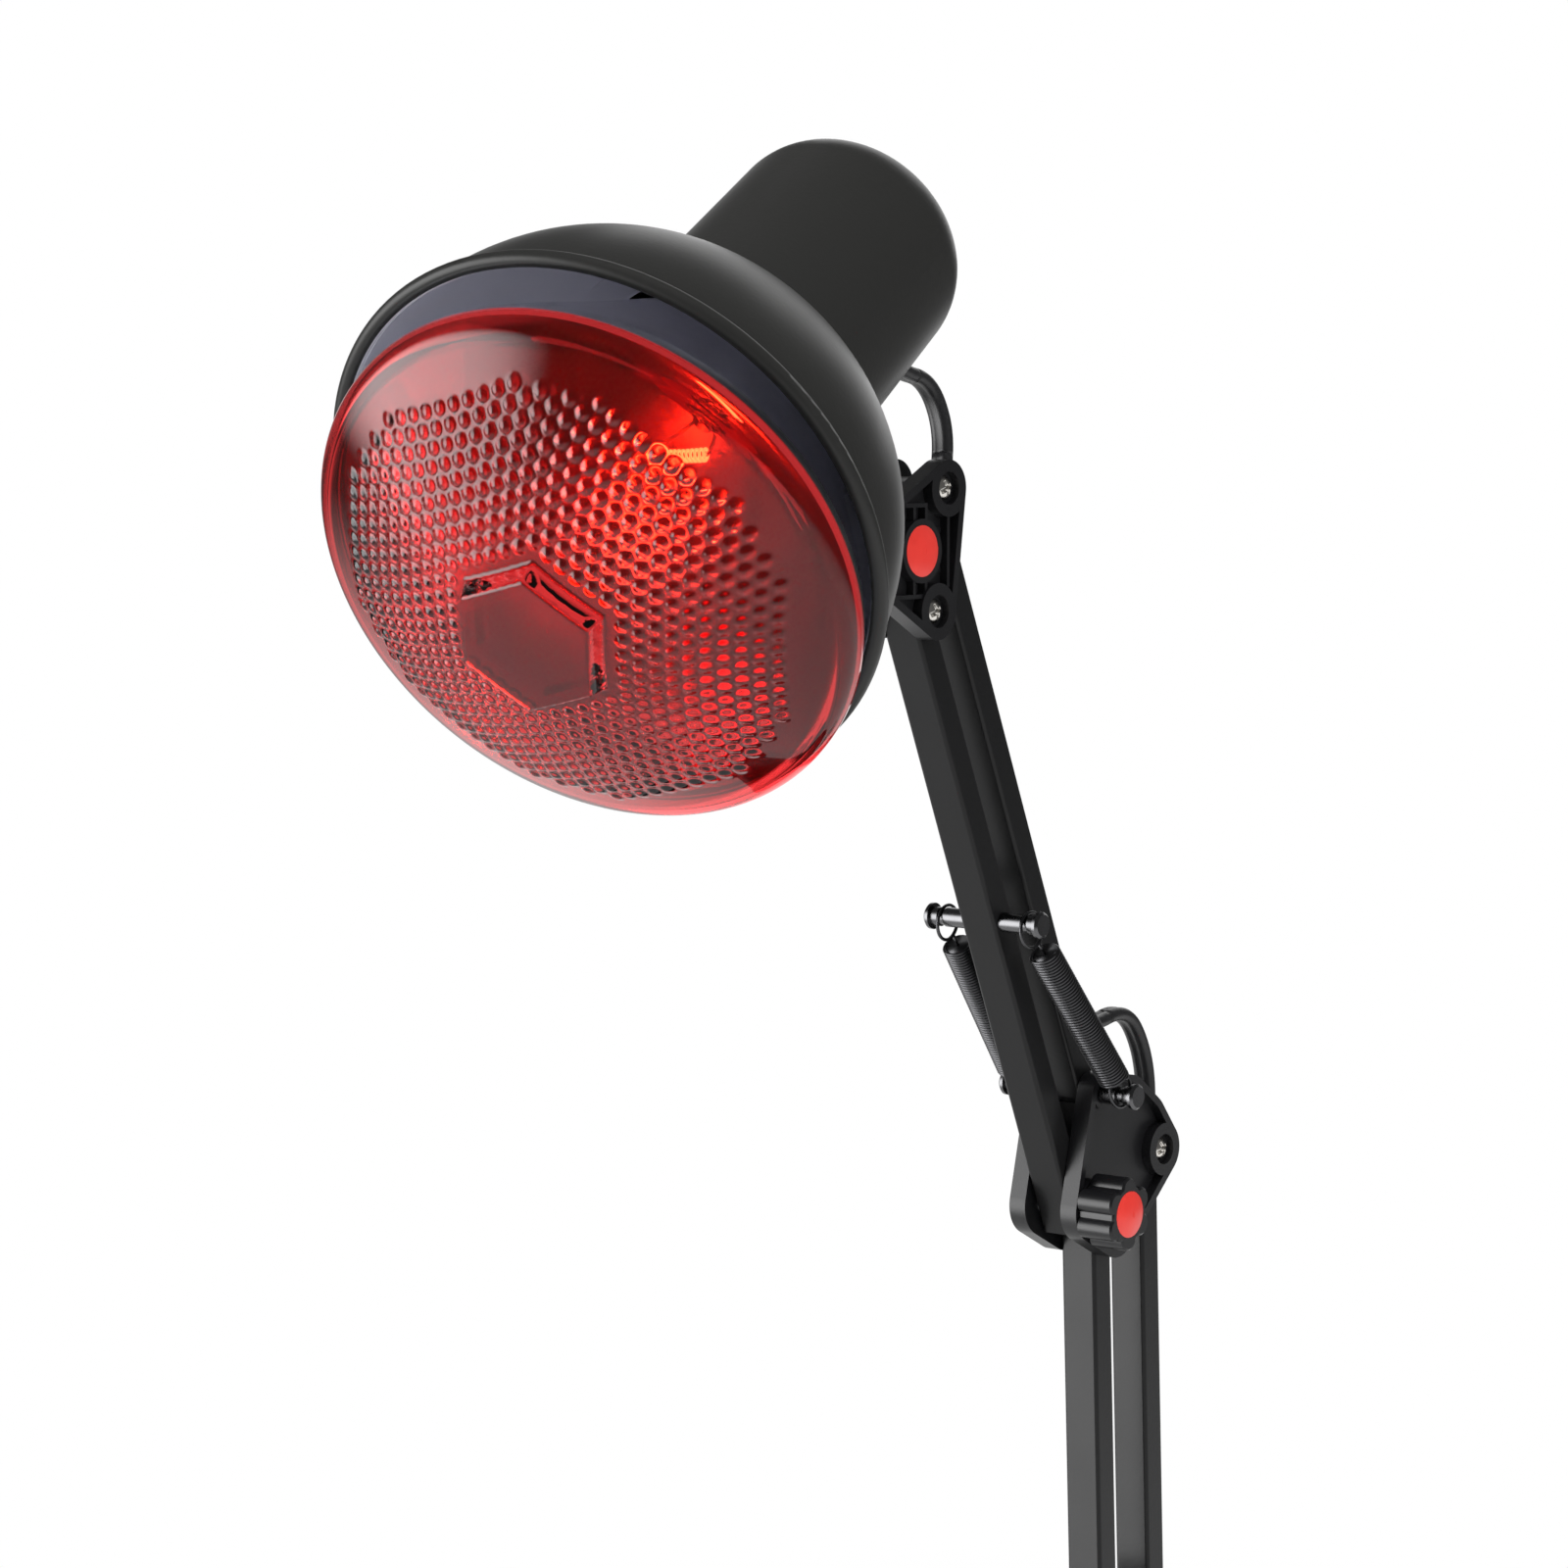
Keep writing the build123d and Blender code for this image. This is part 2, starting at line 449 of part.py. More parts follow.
def reflector():
    """Mirrored pressed-glass body from the seam to the cap."""
    seam = RIM_AT + 3.2
    throat, widest = CAP_THREAD_R + 2.8, BULB_R - 1.2
    knots = [(BULB_R - 0.3, seam), (widest, seam + 3)]
    knots += [(throat + share * (widest - throat), back * BOWL_TOP) for back, share in MIRROR_KNOTS]
    knots += [(throat, CAP_FROM + 1)]
    outer = Spline(*[(r, s) for r, s in knots[1:]])
    face = make_face([Line((0, seam), knots[0]), Line(knots[0], knots[1]), outer,
                      Line(knots[-1], (0, knots[-1][1])), Line((0, knots[-1][1]), (0, seam))])
    body = revolve(Plane.XZ * face, Axis.Z)
    inner = Spline(*[(r - GLASS, s - 0.6) for r, s in knots[1:-1]])
    top, bottom = (knots[-2][0] - GLASS, knots[-2][1] - 0.6), (knots[1][0] - GLASS, knots[1][1] - 0.6)
    hollow = make_face([Line((0, seam - 1), (bottom[0], seam - 1)), Line((bottom[0], seam - 1), bottom), inner,
                        Line(top, (0, top[1])), Line((0, top[1]), (0, seam - 1))])
    return in_bulb(body - revolve(Plane.XZ * hollow, Axis.Z))


def bulb_cap():
    skirt = turned([(0, CAP_FROM + 1), (16.4, CAP_FROM + 1), (15.6, CAP_FROM + 5), (CAP_THREAD_R, CAP_FROM + 7),
                    (CAP_THREAD_R, CAP_TO - 3), (CAP_THREAD_R - 2.5, CAP_TO - 1), (8, CAP_TO), (5, CAP_TO + 2),
                    (4.4, CAP_TO + 3.2), (0, CAP_TO + 3.4)])
    return in_bulb(skirt)


def filament():
    """Glass stem, two lead wires and the coiled filament between them."""
    tip, flare = STEM_TO - STEM_LEN, STEM_TO - STEM_FOOT
    stem = turned([(0, tip), (STEM_TIP_R, tip), (STEM_R, flare), (STEM_R, STEM_TO), (0, STEM_TO)])
    for x in (-STEM_R, STEM_R):
        wire = Solid.make_cylinder(0.5, 19.5, Plane((x * 0.45, 0, tip + 3), z_dir=(x * 0.55, 0, -13)))
        stem += wire
    return in_bulb(stem + Pos(0, 0, tip - COIL_DROP) * Torus(7.0, 0.9))


def holder():
    """Ceramic lampholder, open to the bulb."""
    cup = extrude(Plane.XY.offset(HOLDER_FROM + 8) * Circle(HOLDER_R), HOLDER_TO - HOLDER_FROM - 8)
    cup = chamfer(cup.edges(), 2.0)
    cup -= extrude(Plane.XY.offset(HOLDER_FROM) * Circle(CAP_THREAD_R + 4.2), CAP_FROM + 8.5 - HOLDER_FROM)
    cup -= extrude(Plane.XY.offset(HOLDER_FROM) * Circle(CAP_THREAD_R + 1.0), CAP_TO + 8 - HOLDER_FROM)
    stem = Pos(0, 0, HOLDER_TO - 6) * Cylinder(NIPPLE_R, 16, align=(Align.CENTER, Align.CENTER, Align.MIN))
    return in_bulb(cup) - in_shade(stem)


def holder_contacts():
    """Threaded sleeve round the bulb's cap, and the centre contact behind it."""
    ring = Circle(CAP_THREAD_R + 0.95) - Circle(CAP_THREAD_R + 0.25)
    sleeve = extrude(Plane.XY.offset(CAP_FROM + 9) * ring, CAP_TO - CAP_FROM - 5)
    leaf = extrude(Plane.XY.offset(CAP_TO + 3.5) * Circle(4.0), 0.8)
    post = extrude(Plane.XY.offset(CAP_TO + 4.2) * Circle(1.6), 3.7)
    return in_bulb(sleeve + leaf + post)


def holder_nipple():
    """Stepped threaded tube that carries the holder on the end wall of the neck, its nut inside."""
    inner = NECK_END - NECK_T
    tube = extrude(Plane.XY.offset(HOLDER_TO - 6) * Circle(NIPPLE_R), inner - HOLDER_TO + 6)
    flange = extrude(Plane.XY.offset(HOLDER_TO + 1) * Circle(NIPPLE_R + 4), inner - HOLDER_TO - 1)
    screw = extrude(Plane.XY.offset(inner) * Circle(NIPPLE_R - 2.4), NECK_T)
    return in_shade(tube + flange + screw)


# ---- base -------------------------------------------------------------------------------------------------
def base_cover():
    """Moulded cover: rounded top edge, open underneath, with a hole for the post and one for the cord."""
    top = extrude(Plane.XY.offset(PAD_T) * Circle(BASE_R), BASE_TOP - PAD_T)
    top = fillet(top.edges().sort_by(Axis.Z)[-1], BASE_EDGE_R)
    boss = extrude(Plane.XY.offset(BASE_TOP) * Circle(COLLAR_R), COLLAR_H)
    top += chamfer(boss.edges().sort_by(Axis.Z)[-1], 1.0)
    well = extrude(Plane.XY.offset(PAD_T - 1) * Circle(BASE_R - COVER_T), BASE_TOP - PAD_T - COVER_T + 1)
    well = fillet(well.edges().sort_by(Axis.Z)[-1], BASE_EDGE_R - COVER_T)
    cover = top - well - extrude(Circle(POST_R + 0.1), 60)
    return cover - Pos(0, BASE_R, EXIT_Z) * Rot(90, 0, 0) * Cylinder(BOOT_NECK_R + 0.1, 20)


def weight():
    disc = extrude(Plane.XY.offset(PAD_T) * Circle(BASE_R - COVER_T - BASE_EDGE_R + 2), WEIGHT_T)
    disc = chamfer(disc.edges().sort_by(Axis.Z)[-1], 1.0)
    return disc - Pos(0, BASE_R / 2 - 5, PAD_T + WEIGHT_T / 2) * Box(3 * CORD_R + 3, BASE_R + 10, WEIGHT_T + 1)


def post():
    """Hollow swivel post: flange on the weight, tube up through the cover."""
    foot = PAD_T + WEIGHT_T
    flange = extrude(Plane.XY.offset(foot) * Circle(POST_FLANGE_R), BASE_TOP - COVER_T - foot)
    tube = extrude(Plane.XY.offset(foot) * Circle(POST_R), POST_TOP - foot)
    bore = extrude(Circle(POST_BORE), 60)
    throat = Pos(0, 2.5, foot) * Cylinder(POST_BORE + 2.2, 9)
    return flange + tube - bore - throat


def swivel_hub():
    """Turns on the post; its tongue is clamped between the base bracket's halves."""
    low = BASE_TOP + COLLAR_H + SEAT
    barrel = extrude(Plane.XY.offset(low) * Circle(HUB2_R), HUB2_TOP - low)
    barrel = chamfer(barrel.edges().sort_by(Axis.Z)[0], 0.8)
    tongue = Pos(0, 1, (HUB2_TOP + TONGUE2_TOP) / 2) * Box(2 * SLOT - 0.04, 27, TONGUE2_TOP - HUB2_TOP)
    hub = barrel + fillet(tongue.edges().filter_by(Axis.X).sort_by(Axis.Z)[-2:], 2.5)
    hub -= extrude(Plane.XY.offset(low - 1) * Circle(POST_R + RUN), POST_TOP + 0.5 - low + 1)
    hub -= extrude(Circle(POST_BORE), 80)
    hub -= Pos(0, 10, HUB2_TOP + 6) * Box(2 * CORD_R + 1.4, 20, 24)
    for c in base_screws:
        hub -= x_rod(c, PIN_R, -OUT, OUT)
    return hub


# ---- cord -------------------------------------------------------------------------------------------------


def rounded(points):
    """Tangent path through the points, each corner as wide as its shorter side allows."""
    pts = [Vector(p) for p in points]
    if len(pts) == 2:
        return Line(*pts), []
    radii = []
    for a, b, c in zip(pts, pts[1:], pts[2:]):
        half = radians((b - a).get_angle(c - b)) / 2
        radii.append(TURN_SHARE * min((b - a).length, (c - b).length) / tan(half))
    return FilletPolyline(*pts, radius=radii), radii


def cord(name, *points):
    path, radii = rounded(points)
    section = Plane(origin=path @ 0, z_dir=path % 0) * Circle(CORD_R)
    tube = sweep(section, path=path)
    print(f"{name}: length {path.length:.1f}, radii {[round(r, 1) for r in radii]}")
    return tube


def on_bar(top, deg, down, off=0.3):
    """Point in a bar's channel, down from its top pivot and off to the rear."""
    return top - lean(deg) * down + rear(deg) * off


gland_line = in_shade(gland_rod(0.5, -NECK_T, 3.0))
gland_in, gland_out = [f.center() for f in gland_line.faces().filter_by(GeomType.PLANE)]
gland_way = (gland_out - gland_in).normalized()
if gland_way.Z > 0:
    gland_in, gland_out, gland_way = gland_out, gland_in, gland_way * -1

up_in, up_out = on_bar(head_rear, UPPER_LEAN, 34.0), on_bar(head_rear, UPPER_LEAN, UPPER_LEN - 37.5)
up_a, up_b = on_bar(head_rear, UPPER_LEAN, 50.0), on_bar(head_rear, UPPER_LEAN, UPPER_LEN - 60.0)
low_in = on_bar(elbow_low_rear, LOWER_LEAN, 30.0)
low_out = on_bar(elbow_low_rear, LOWER_LEAN, LOWER_LEN - 30.0)
low_a, low_b = on_bar(elbow_low_rear, LOWER_LEAN, 50.0), on_bar(elbow_low_rear, LOWER_LEAN, LOWER_LEN - 50.0)
post_in = Vector(0, 0, 43.0)

head_loop = [gland_in, gland_out + gland_way * 21, up_in, up_a]
elbow_loop = [up_b, up_out, elbow_up_rear + Vector(0, -3.4, 11.5), elbow_low_rear + Vector(0, 1.7, 38.2),
              elbow_low_rear + Vector(0, 9.4, 9.0), low_in, low_a]
base_loop = [low_b, low_out, base_rear + Vector(0, 8.9, 12.8), base_rear + Vector(0, 7.4, -7.2),
             Vector(0, 0, 54.0), post_in]
in_base = [post_in, Vector(0, 0, EXIT_Z), Vector(0, BASE_R + 2, EXIT_Z)]


def outside_leads():
    (sx, sy), half = SWITCH_AT, SWITCH_SIZE[1] / 2
    cx, cy = COIL_AT
    px, py = PLUG_AT
    first = cord("cord_lead", (0, BASE_R + BOOT_LEN, EXIT_Z), (0, BASE_R + 50, 6.0), (-29, BASE_R + 75, TABLE),
                 (-51, BASE_R + 100, 4.0), (sx, sy - half, SWITCH_Z))
    second = cord("cord_to_coil", (sx, sy + half, SWITCH_Z), (sx + 1, sy + half + 26, 3.6),
                  (sx + 26, sy + half + 50, TABLE), (sx + 62, sy + half + 50, TABLE), (cx + 14, cy + 114, TABLE),
                  (cx + 30, cy + 82, TABLE), (cx + COIL_R + 4, cy + 48, 3.6), (cx + COIL_R, cy + 19, 6.0))
    third = cord("cord_to_plug", (cx - COIL_R, cy + 19, 6.0), (cx - COIL_R + 2, cy + 40, TABLE + 1),
                 (px, py - 13, 4.6), (px, py, PLUG_Z))
    return first, second, third


def strain_relief():
    """Tapered boot outside the cover, a neck through its wall and a flange inside."""
    inside, outside = BASE_R - COVER_T - 0.5, BASE_R + 0.4
    cone = turned([(CORD_R, inside - 1.5), (BOOT_R0 + 1.2, inside - 1.5), (BOOT_R0 + 1.2, inside),
                   (BOOT_NECK_R, inside), (BOOT_NECK_R, outside), (BOOT_R0, outside), (BOOT_R0, outside + 3),
                   (BOOT_R1, BASE_R + BOOT_LEN), (CORD_R, BASE_R + BOOT_LEN)])
    return Pos(0, 0, EXIT_Z) * cone.rotate(Axis.X, -90)


def switch():
    (x, y), (wide, long, high) = SWITCH_AT, SWITCH_SIZE
    body = extrude(Pos(x, y) * RectangleRounded(wide, long, 7.0), high)
    body = chamfer(body.faces().sort_by(Axis.Z)[-1].edges(), 2.0)
    body -= Pos(x, y, high) * Box(12.4, 22.6, 12)
    rocker = extrude(Plane.YZ.offset(-6) * (Circle(11.0) & Pos(0, 3.6) * Rectangle(24, 7.2)), 12)
    return body, Pos(x, y, high - 3.6) * Rot(ROCK, 0, 0) * rocker


def coil():
    x, y = COIL_AT
    ring = extrude(Pos(x, y) * (Circle(COIL_R + COIL_BAND) - Circle(COIL_R - COIL_BAND)), COIL_H)
    return fillet(ring.edges(), 4.5)


def plug():
    """Moulded two-pin plug with flat blades."""
    (x, y), (wide, long, thick) = PLUG_AT, PLUG_SIZE
    body = extrude(Plane.XZ * RectangleRounded(wide, thick, 5.0), -long)
    body = chamfer(body.faces().sort_by(Axis.Y)[-1].edges(), 0.8)
    blades = None
    for dx in (-BLADE_PITCH / 2, BLADE_PITCH / 2):
        blade = Pos(dx, long + BLADE_LEN / 2, 0) * Box(BLADE_T, BLADE_LEN, BLADE_W)
        blades = blade if blades is None else blades + blade
    return Pos(x, y, PLUG_Z) * body, Pos(x, y, PLUG_Z) * blades


# ---- nodes ------------------------------------------------------------------------------------------------
nodes = {}


def build():
    face = OUT + KNOB_GAP + KNOB_LEN
    nodes["shade_shell"] = shade_shell()
    nodes["neck_cup"] = neck_cup()
    nodes["cord_gland"] = gland()
    nodes["swivel_saddle"] = saddle()
    nodes["bulb_lens"] = lens()
    nodes["bulb_reflector"] = reflector()
    nodes["bulb_cap"] = bulb_cap()
    nodes["bulb_filament"] = filament()
    nodes["holder_body"] = holder()
    nodes["holder_contacts"] = holder_contacts()
    nodes["holder_nipple"] = holder_nipple()
    nodes["tilt_hub"] = tilt_hub()
    nodes["swivel_stud"] = stud()

    nodes["head_half_near"], nodes["head_half_far"] = head_half(True), head_half(False)
    nodes["head_screws"] = pivot_screw(head_rear) + pivot_screw(head_front)
    nodes["tilt_bolt"] = (x_rod(tilt, BOLT_R, -OUT, OUT - 1.6) + nut(tilt, -OUT + 0.1, -OUT + NUT_H, NUT_R - 0.1, 2)
                          + nut(tilt, OUT - 1.6 - NUT_H, OUT - 1.7, NUT_R - 0.1, 2))
    ring = x_rod(tilt, TONGUE_R, TONGUE_HALF + SEAT, SLOT) - x_rod(tilt, BOLT_R + RUN, 0, OUT)
    nodes["tilt_washers"] = both(ring)
    nodes["head_cap"] = red_cap(tilt, CAP_R, OUT)

    nodes["upper_front_bar"] = front_bar(elbow_up_front, UPPER_LEAN, UPPER_LEN, foot_ext=3.0, square_foot=True,
                                         foot_hole=BOLT_R)
    nodes["upper_rear_bar"] = channel(elbow_up_rear, UPPER_LEAN, UPPER_LEN)
    nodes["lower_front_bar"] = front_bar(elbow_low_front - lean(LOWER_LEAN) * LOWER_LEN, LOWER_LEAN, LOWER_LEN)
    nodes["lower_rear_bar"] = channel(base_rear, LOWER_LEAN, LOWER_LEN)
    nodes["upper_spring_pin"] = spring_pin(upper_pin, SPRING_PIN_R, SPRING_TOP_X)
    nodes["lower_spring_pin"] = spring_pin(lower_pin, SPRING_PIN_R, SPRING_TOP_X)
    nodes["elbow_spring_pin"] = spring_pin(elbow_up_rear, PIN_R, SPRING_FOOT_X, OUT + 0.1)
    nodes["base_spring_pin"] = spring_pin(base_rear, PIN_R, SPRING_FOOT_X, OUT + 0.1)
    nodes["upper_springs"] = spring(upper_pin, elbow_up_rear, 1) + spring(upper_pin, elbow_up_rear, -1)
    nodes["lower_springs"] = spring(lower_pin, base_rear, 1) + spring(lower_pin, base_rear, -1)

    nodes["elbow_half_near"], nodes["elbow_half_far"] = elbow_half(True), elbow_half(False)
    nodes["elbow_rivet"] = rivet(elbow_low_front, SLOT + PANEL)
    nodes["elbow_screw"] = pivot_screw(elbow_low_rear)
    nodes["elbow_bolt"] = (x_rod(elbow_up_front, BOLT_R, -OUT, face - 2.2)
                           + nut(elbow_up_front, -OUT + 0.1, -OUT + NUT_H, NUT_R - 0.1, 2))
    nodes["knob"] = knob()
    nodes["knob_cap"] = red_cap(elbow_up_front, KNOB_CAP_R, face)

    nodes["base_half_near"], nodes["base_half_far"] = base_half(True), base_half(False)
    grip = SLOT + PANEL
    nodes["base_rivets"] = rivet(base_front, grip) + rivet(base_screws[0], grip) + rivet(base_screws[1], grip)
    nodes["swivel_hub"] = swivel_hub()
    nodes["swivel_post"] = post()
    nodes["base_cover"] = base_cover()
    nodes["base_weight"] = weight()
    nodes["foot_pad"] = extrude(Circle(BASE_R - 2.0), PAD_T)

    nodes["cord_head_loop"] = cord("cord_head_loop", *head_loop)
    nodes["cord_upper"] = cord("cord_upper", up_a, up_b)
    nodes["cord_elbow_loop"] = cord("cord_elbow_loop", *elbow_loop)
    nodes["cord_lower"] = cord("cord_lower", low_a, low_b)
    nodes["cord_base_loop"] = cord("cord_base_loop", *base_loop)
    nodes["cord_in_base"] = cord("cord_in_base", *in_base)
    nodes["cord_boot"] = strain_relief()
    nodes["cord_lead"], nodes["cord_to_coil"], nodes["cord_to_plug"] = outside_leads()
    nodes["switch_body"], nodes["switch_rocker"] = switch()
    nodes["cord_coil"] = coil()
    nodes["plug_body"], nodes["plug_pins"] = plug()


build()
os.makedirs("parts", exist_ok=True)
for name, shape in nodes.items():
    export_step(shape, f"parts/{name}.step")
print(len(nodes), "nodes")
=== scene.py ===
# %% [markdown]
# # An infrared heat lamp on a spring arm
# The lamp's hard parts come from its CAD model, packed as a fixed frame: every bar, bracket and pivot is
# already where it belongs. This lesson dresses that frame. It adds what CAD leaves plain, such as the
# stippled glass, the wound springs and the flat cord, gives every part its finish, and lights the whole for
# one plain studio picture.

import json
from math import acos, atan2, cos, hypot, pi, radians, sin, sqrt, tan

import bmesh
import bpy
from mathutils import Matrix, Vector


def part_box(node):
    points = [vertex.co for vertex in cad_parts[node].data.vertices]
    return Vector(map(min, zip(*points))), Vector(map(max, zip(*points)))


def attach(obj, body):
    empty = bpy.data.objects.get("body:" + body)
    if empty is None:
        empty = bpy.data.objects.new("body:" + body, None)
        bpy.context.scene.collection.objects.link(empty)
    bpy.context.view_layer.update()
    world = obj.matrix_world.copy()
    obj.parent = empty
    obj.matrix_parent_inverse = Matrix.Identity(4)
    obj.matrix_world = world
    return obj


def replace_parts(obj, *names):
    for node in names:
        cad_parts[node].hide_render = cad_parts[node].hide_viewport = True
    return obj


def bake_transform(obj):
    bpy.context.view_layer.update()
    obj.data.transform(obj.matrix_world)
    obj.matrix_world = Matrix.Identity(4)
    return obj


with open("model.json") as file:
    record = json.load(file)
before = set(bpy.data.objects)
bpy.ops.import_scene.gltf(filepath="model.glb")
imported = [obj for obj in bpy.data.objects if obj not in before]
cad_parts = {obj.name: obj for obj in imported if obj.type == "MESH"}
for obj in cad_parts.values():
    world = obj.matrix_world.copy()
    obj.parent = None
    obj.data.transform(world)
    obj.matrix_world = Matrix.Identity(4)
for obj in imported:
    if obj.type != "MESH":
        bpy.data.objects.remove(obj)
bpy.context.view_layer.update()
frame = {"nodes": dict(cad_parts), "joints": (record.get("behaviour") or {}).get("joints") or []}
cad = frame["nodes"]
joints = {j["name"]: j for j in frame["joints"]}

# %% [markdown]
# ## The camera
# A long lens from slightly above the shade flattens the lamp gently. The camera stands to the lamp's left
# front, turned about 38 degrees from straight ahead and looking down by 5 degrees.

# %% Camera
AROUND, DOWN = radians(38.49), radians(5.03)
CAMERA_AT, LENS = (0.6051, -0.8964, 0.4391), 101.25
sight = Vector((-sin(AROUND) * cos(DOWN), cos(AROUND) * cos(DOWN), -sin(DOWN)))
camera = bpy.data.objects.new("camera", bpy.data.cameras.new("camera"))
camera.data.sensor_width = 36.0
camera.data.lens = LENS
camera.location = CAMERA_AT
camera.rotation_euler = sight.to_track_quat("-Z", "Y").to_euler()
bpy.context.scene.collection.objects.link(camera)
bpy.context.scene.camera = camera

# %% [markdown]
# ## Expressions for shader maths
# Shader nodes that add or multiply are easier to read as Python. A small class wraps a socket, so that
# `1 - mask * 2` adds its own Math nodes. A finish is a material with one Principled shader and a method
# that adds any other node.

# %% Shader helpers
class Num:
    """A number that a socket carries."""

    def __init__(self, finish, socket):
        self.finish, self.socket = finish, socket

    def math(self, operation, *others):
        values = {i: o for i, o in enumerate((self, *others))}
        return self.finish.add("ShaderNodeMath", {"operation": operation}, values).num()

    def __add__(self, other):
        return self.math("ADD", other)

    def __mul__(self, other):
        return self.math("MULTIPLY", other)

    def __sub__(self, other):
        return self.math("SUBTRACT", other)

    def __rsub__(self, other):
        return (self * -1.0) + other

    __radd__, __rmul__ = __add__, __mul__

    def clamp(self):
        return self.math("MINIMUM", 1.0).math("MAXIMUM", 0.0)


class Added:
    """A node that a finish has added."""

    def __init__(self, finish, node):
        self.finish, self.node = finish, node

    def out(self, name=0):
        return self.node.outputs[name]

    def num(self, name=0):
        return Num(self.finish, self.node.outputs[name])


class Graph:
    """A node tree, a material's or the world's, that other nodes are added to."""

    def __init__(self, tree):
        self.tree = tree

    def join(self, value, target):
        """Link or set one input."""
        value = value.socket if isinstance(value, Num) else value
        if isinstance(value, bpy.types.NodeSocket):
            self.tree.links.new(value, target)
        elif hasattr(value, "__len__") and len(value) == 3 and target.type == "RGBA":
            target.default_value = (*value, 1.0)
        else:
            target.default_value = value

    def add(self, kind, settings=None, values=None):
        node = self.tree.nodes.new(kind)
        for key, value in (settings or {}).items():
            setattr(node, key, value)
        for key, value in (values or {}).items():
            self.join(value, node.inputs[key])
        return Added(self, node)

    def dot(self, a, b):
        return self.add("ShaderNodeVectorMath", {"operation": "DOT_PRODUCT"}, {0: a, 1: b}).num("Value")

    def eased(self, value, low, high, peak):
        """Smooth rise from 0 at low to a peak at high."""
        ends = {"Value": value, "From Min": low, "From Max": high, "To Min": 0.0, "To Max": peak}
        return self.add("ShaderNodeMapRange", {"interpolation_type": "SMOOTHSTEP"}, ends).num()


class Finish(Graph):
    """A material with one Principled shader; keywords set its sockets."""

    def __init__(self, name, **sockets):
        self.material = bpy.data.materials.new(name)
        self.material.use_nodes = True
        super().__init__(self.material.node_tree)
        self.shader = self.tree.nodes["Principled BSDF"]
        for key, value in sockets.items():
            self.set(key.replace("_", " "), value)

    def set(self, socket, value):
        self.join(value, self.shader.inputs[socket])

    def place(self):
        return self.add("ShaderNodeTexCoord").out("Object")

    def noise(self, scale, detail=3.0, at=None):
        values = {"Vector": at or self.place(), "Scale": scale, "Detail": detail}
        return self.add("ShaderNodeTexNoise", None, values).num("Fac")

    def ramp(self, fac, *stops):
        """Colour ramp from (position, colour) stops."""
        ramp = self.add("ShaderNodeValToRGB", None, {"Fac": fac})
        points = ramp.node.color_ramp.elements
        while len(points) < len(stops):
            points.new(0.5)
        for point, (where, colour) in zip(points, stops):
            point.position, point.color = where, (*colour, 1.0)
        return ramp.out("Color")

    def bump(self, height, strength, distance):
        values = {"Height": height, "Strength": strength, "Distance": distance}
        self.set("Normal", self.add("ShaderNodeBump", None, values).out("Normal"))

    def dress(self, *names):
        for name in names:
            cad[name].data.materials.clear()
            cad[name].data.materials.append(self.material)


# %% [markdown]
# ## Paint, plastic and steel
# The shade and the bars are sprayed satin black: almost no colour of their own, a soft broad sheen, and a
# faint orange peel that only shows where a light is mirrored. The brackets and the knob are moulded, so
# their grain is finer and their sheen duller. Each finish varies its roughness a little, because real ones
# do.

# %% Black finishes
def satin_paint(name, shade, rough, peel, gloss):
    """Sprayed black with an orange peel."""
    paint = Finish(name, Base_Color=(shade, shade, shade * 1.04), Specular_IOR_Level=gloss)
    paint.set("Roughness", paint.noise(60.0) * 0.08 + (rough - 0.04))
    paint.bump(paint.noise(900.0, 2.0), peel, 0.0002)
    return paint


def moulded(name, colour, rough, grain):
    """Plastic or rubber with a moulded grain, a little paler where it is worn."""
    plastic = Finish(name, Specular_IOR_Level=0.45)
    worn = plastic.noise(35.0, 5.0)
    dark, pale = [c * 0.85 for c in colour], [c * 1.2 + 0.002 for c in colour]
    plastic.set("Base Color", plastic.ramp(worn, (0.3, dark), (0.7, pale)))
    plastic.set("Roughness", worn * 0.12 + (rough - 0.06))
    plastic.bump(plastic.noise(2600.0, 2.0), grain, 0.0001)
    return plastic


bar_paint = satin_paint("bar_paint", 0.011, 0.30, 0.08, 0.25)
bracket_plastic = moulded("bracket_plastic", (0.008, 0.008, 0.009), 0.36, 0.25)
knob_plastic = moulded("knob_plastic", (0.008, 0.008, 0.009), 0.30, 0.20)
base_plastic = moulded("base_plastic", (0.014, 0.014, 0.015), 0.42, 0.5)

bar_paint.dress("upper_front_bar", "upper_rear_bar", "lower_front_bar", "lower_rear_bar")
bracket_plastic.dress("head_half_near", "head_half_far", "elbow_half_near", "elbow_half_far",
                      "base_half_near", "base_half_far", "tilt_hub", "swivel_saddle", "swivel_hub")
base_plastic.dress("base_cover", "switch_body", "plug_body")
knob_plastic.dress("knob")

# %% Metals, rubber and small parts
nickel = Finish("nickel", Base_Color=(0.78, 0.75, 0.70), Metallic=1.0)
nickel.set("Roughness", nickel.noise(300.0) * 0.15 + 0.16)
pin_steel = Finish("pin_steel", Base_Color=(0.14, 0.14, 0.145), Metallic=1.0)
pin_steel.set("Roughness", pin_steel.noise(250.0) * 0.15 + 0.20)
zinc = Finish("zinc_plate", Base_Color=(0.62, 0.63, 0.65), Metallic=1.0)
zinc.set("Roughness", zinc.noise(200.0) * 0.2 + 0.25)
brass = Finish("brass", Metallic=1.0)
tarnish = brass.noise(120.0, 4.0)
brass.set("Base Color", brass.ramp(tarnish, (0.3, (0.62, 0.43, 0.17)), (0.7, (0.86, 0.66, 0.32))))
brass.set("Roughness", brass.noise(200.0) * 0.2 + 0.22)
iron = Finish("cast_iron", Specular_IOR_Level=0.4)
skin = iron.noise(180.0, 5.0)
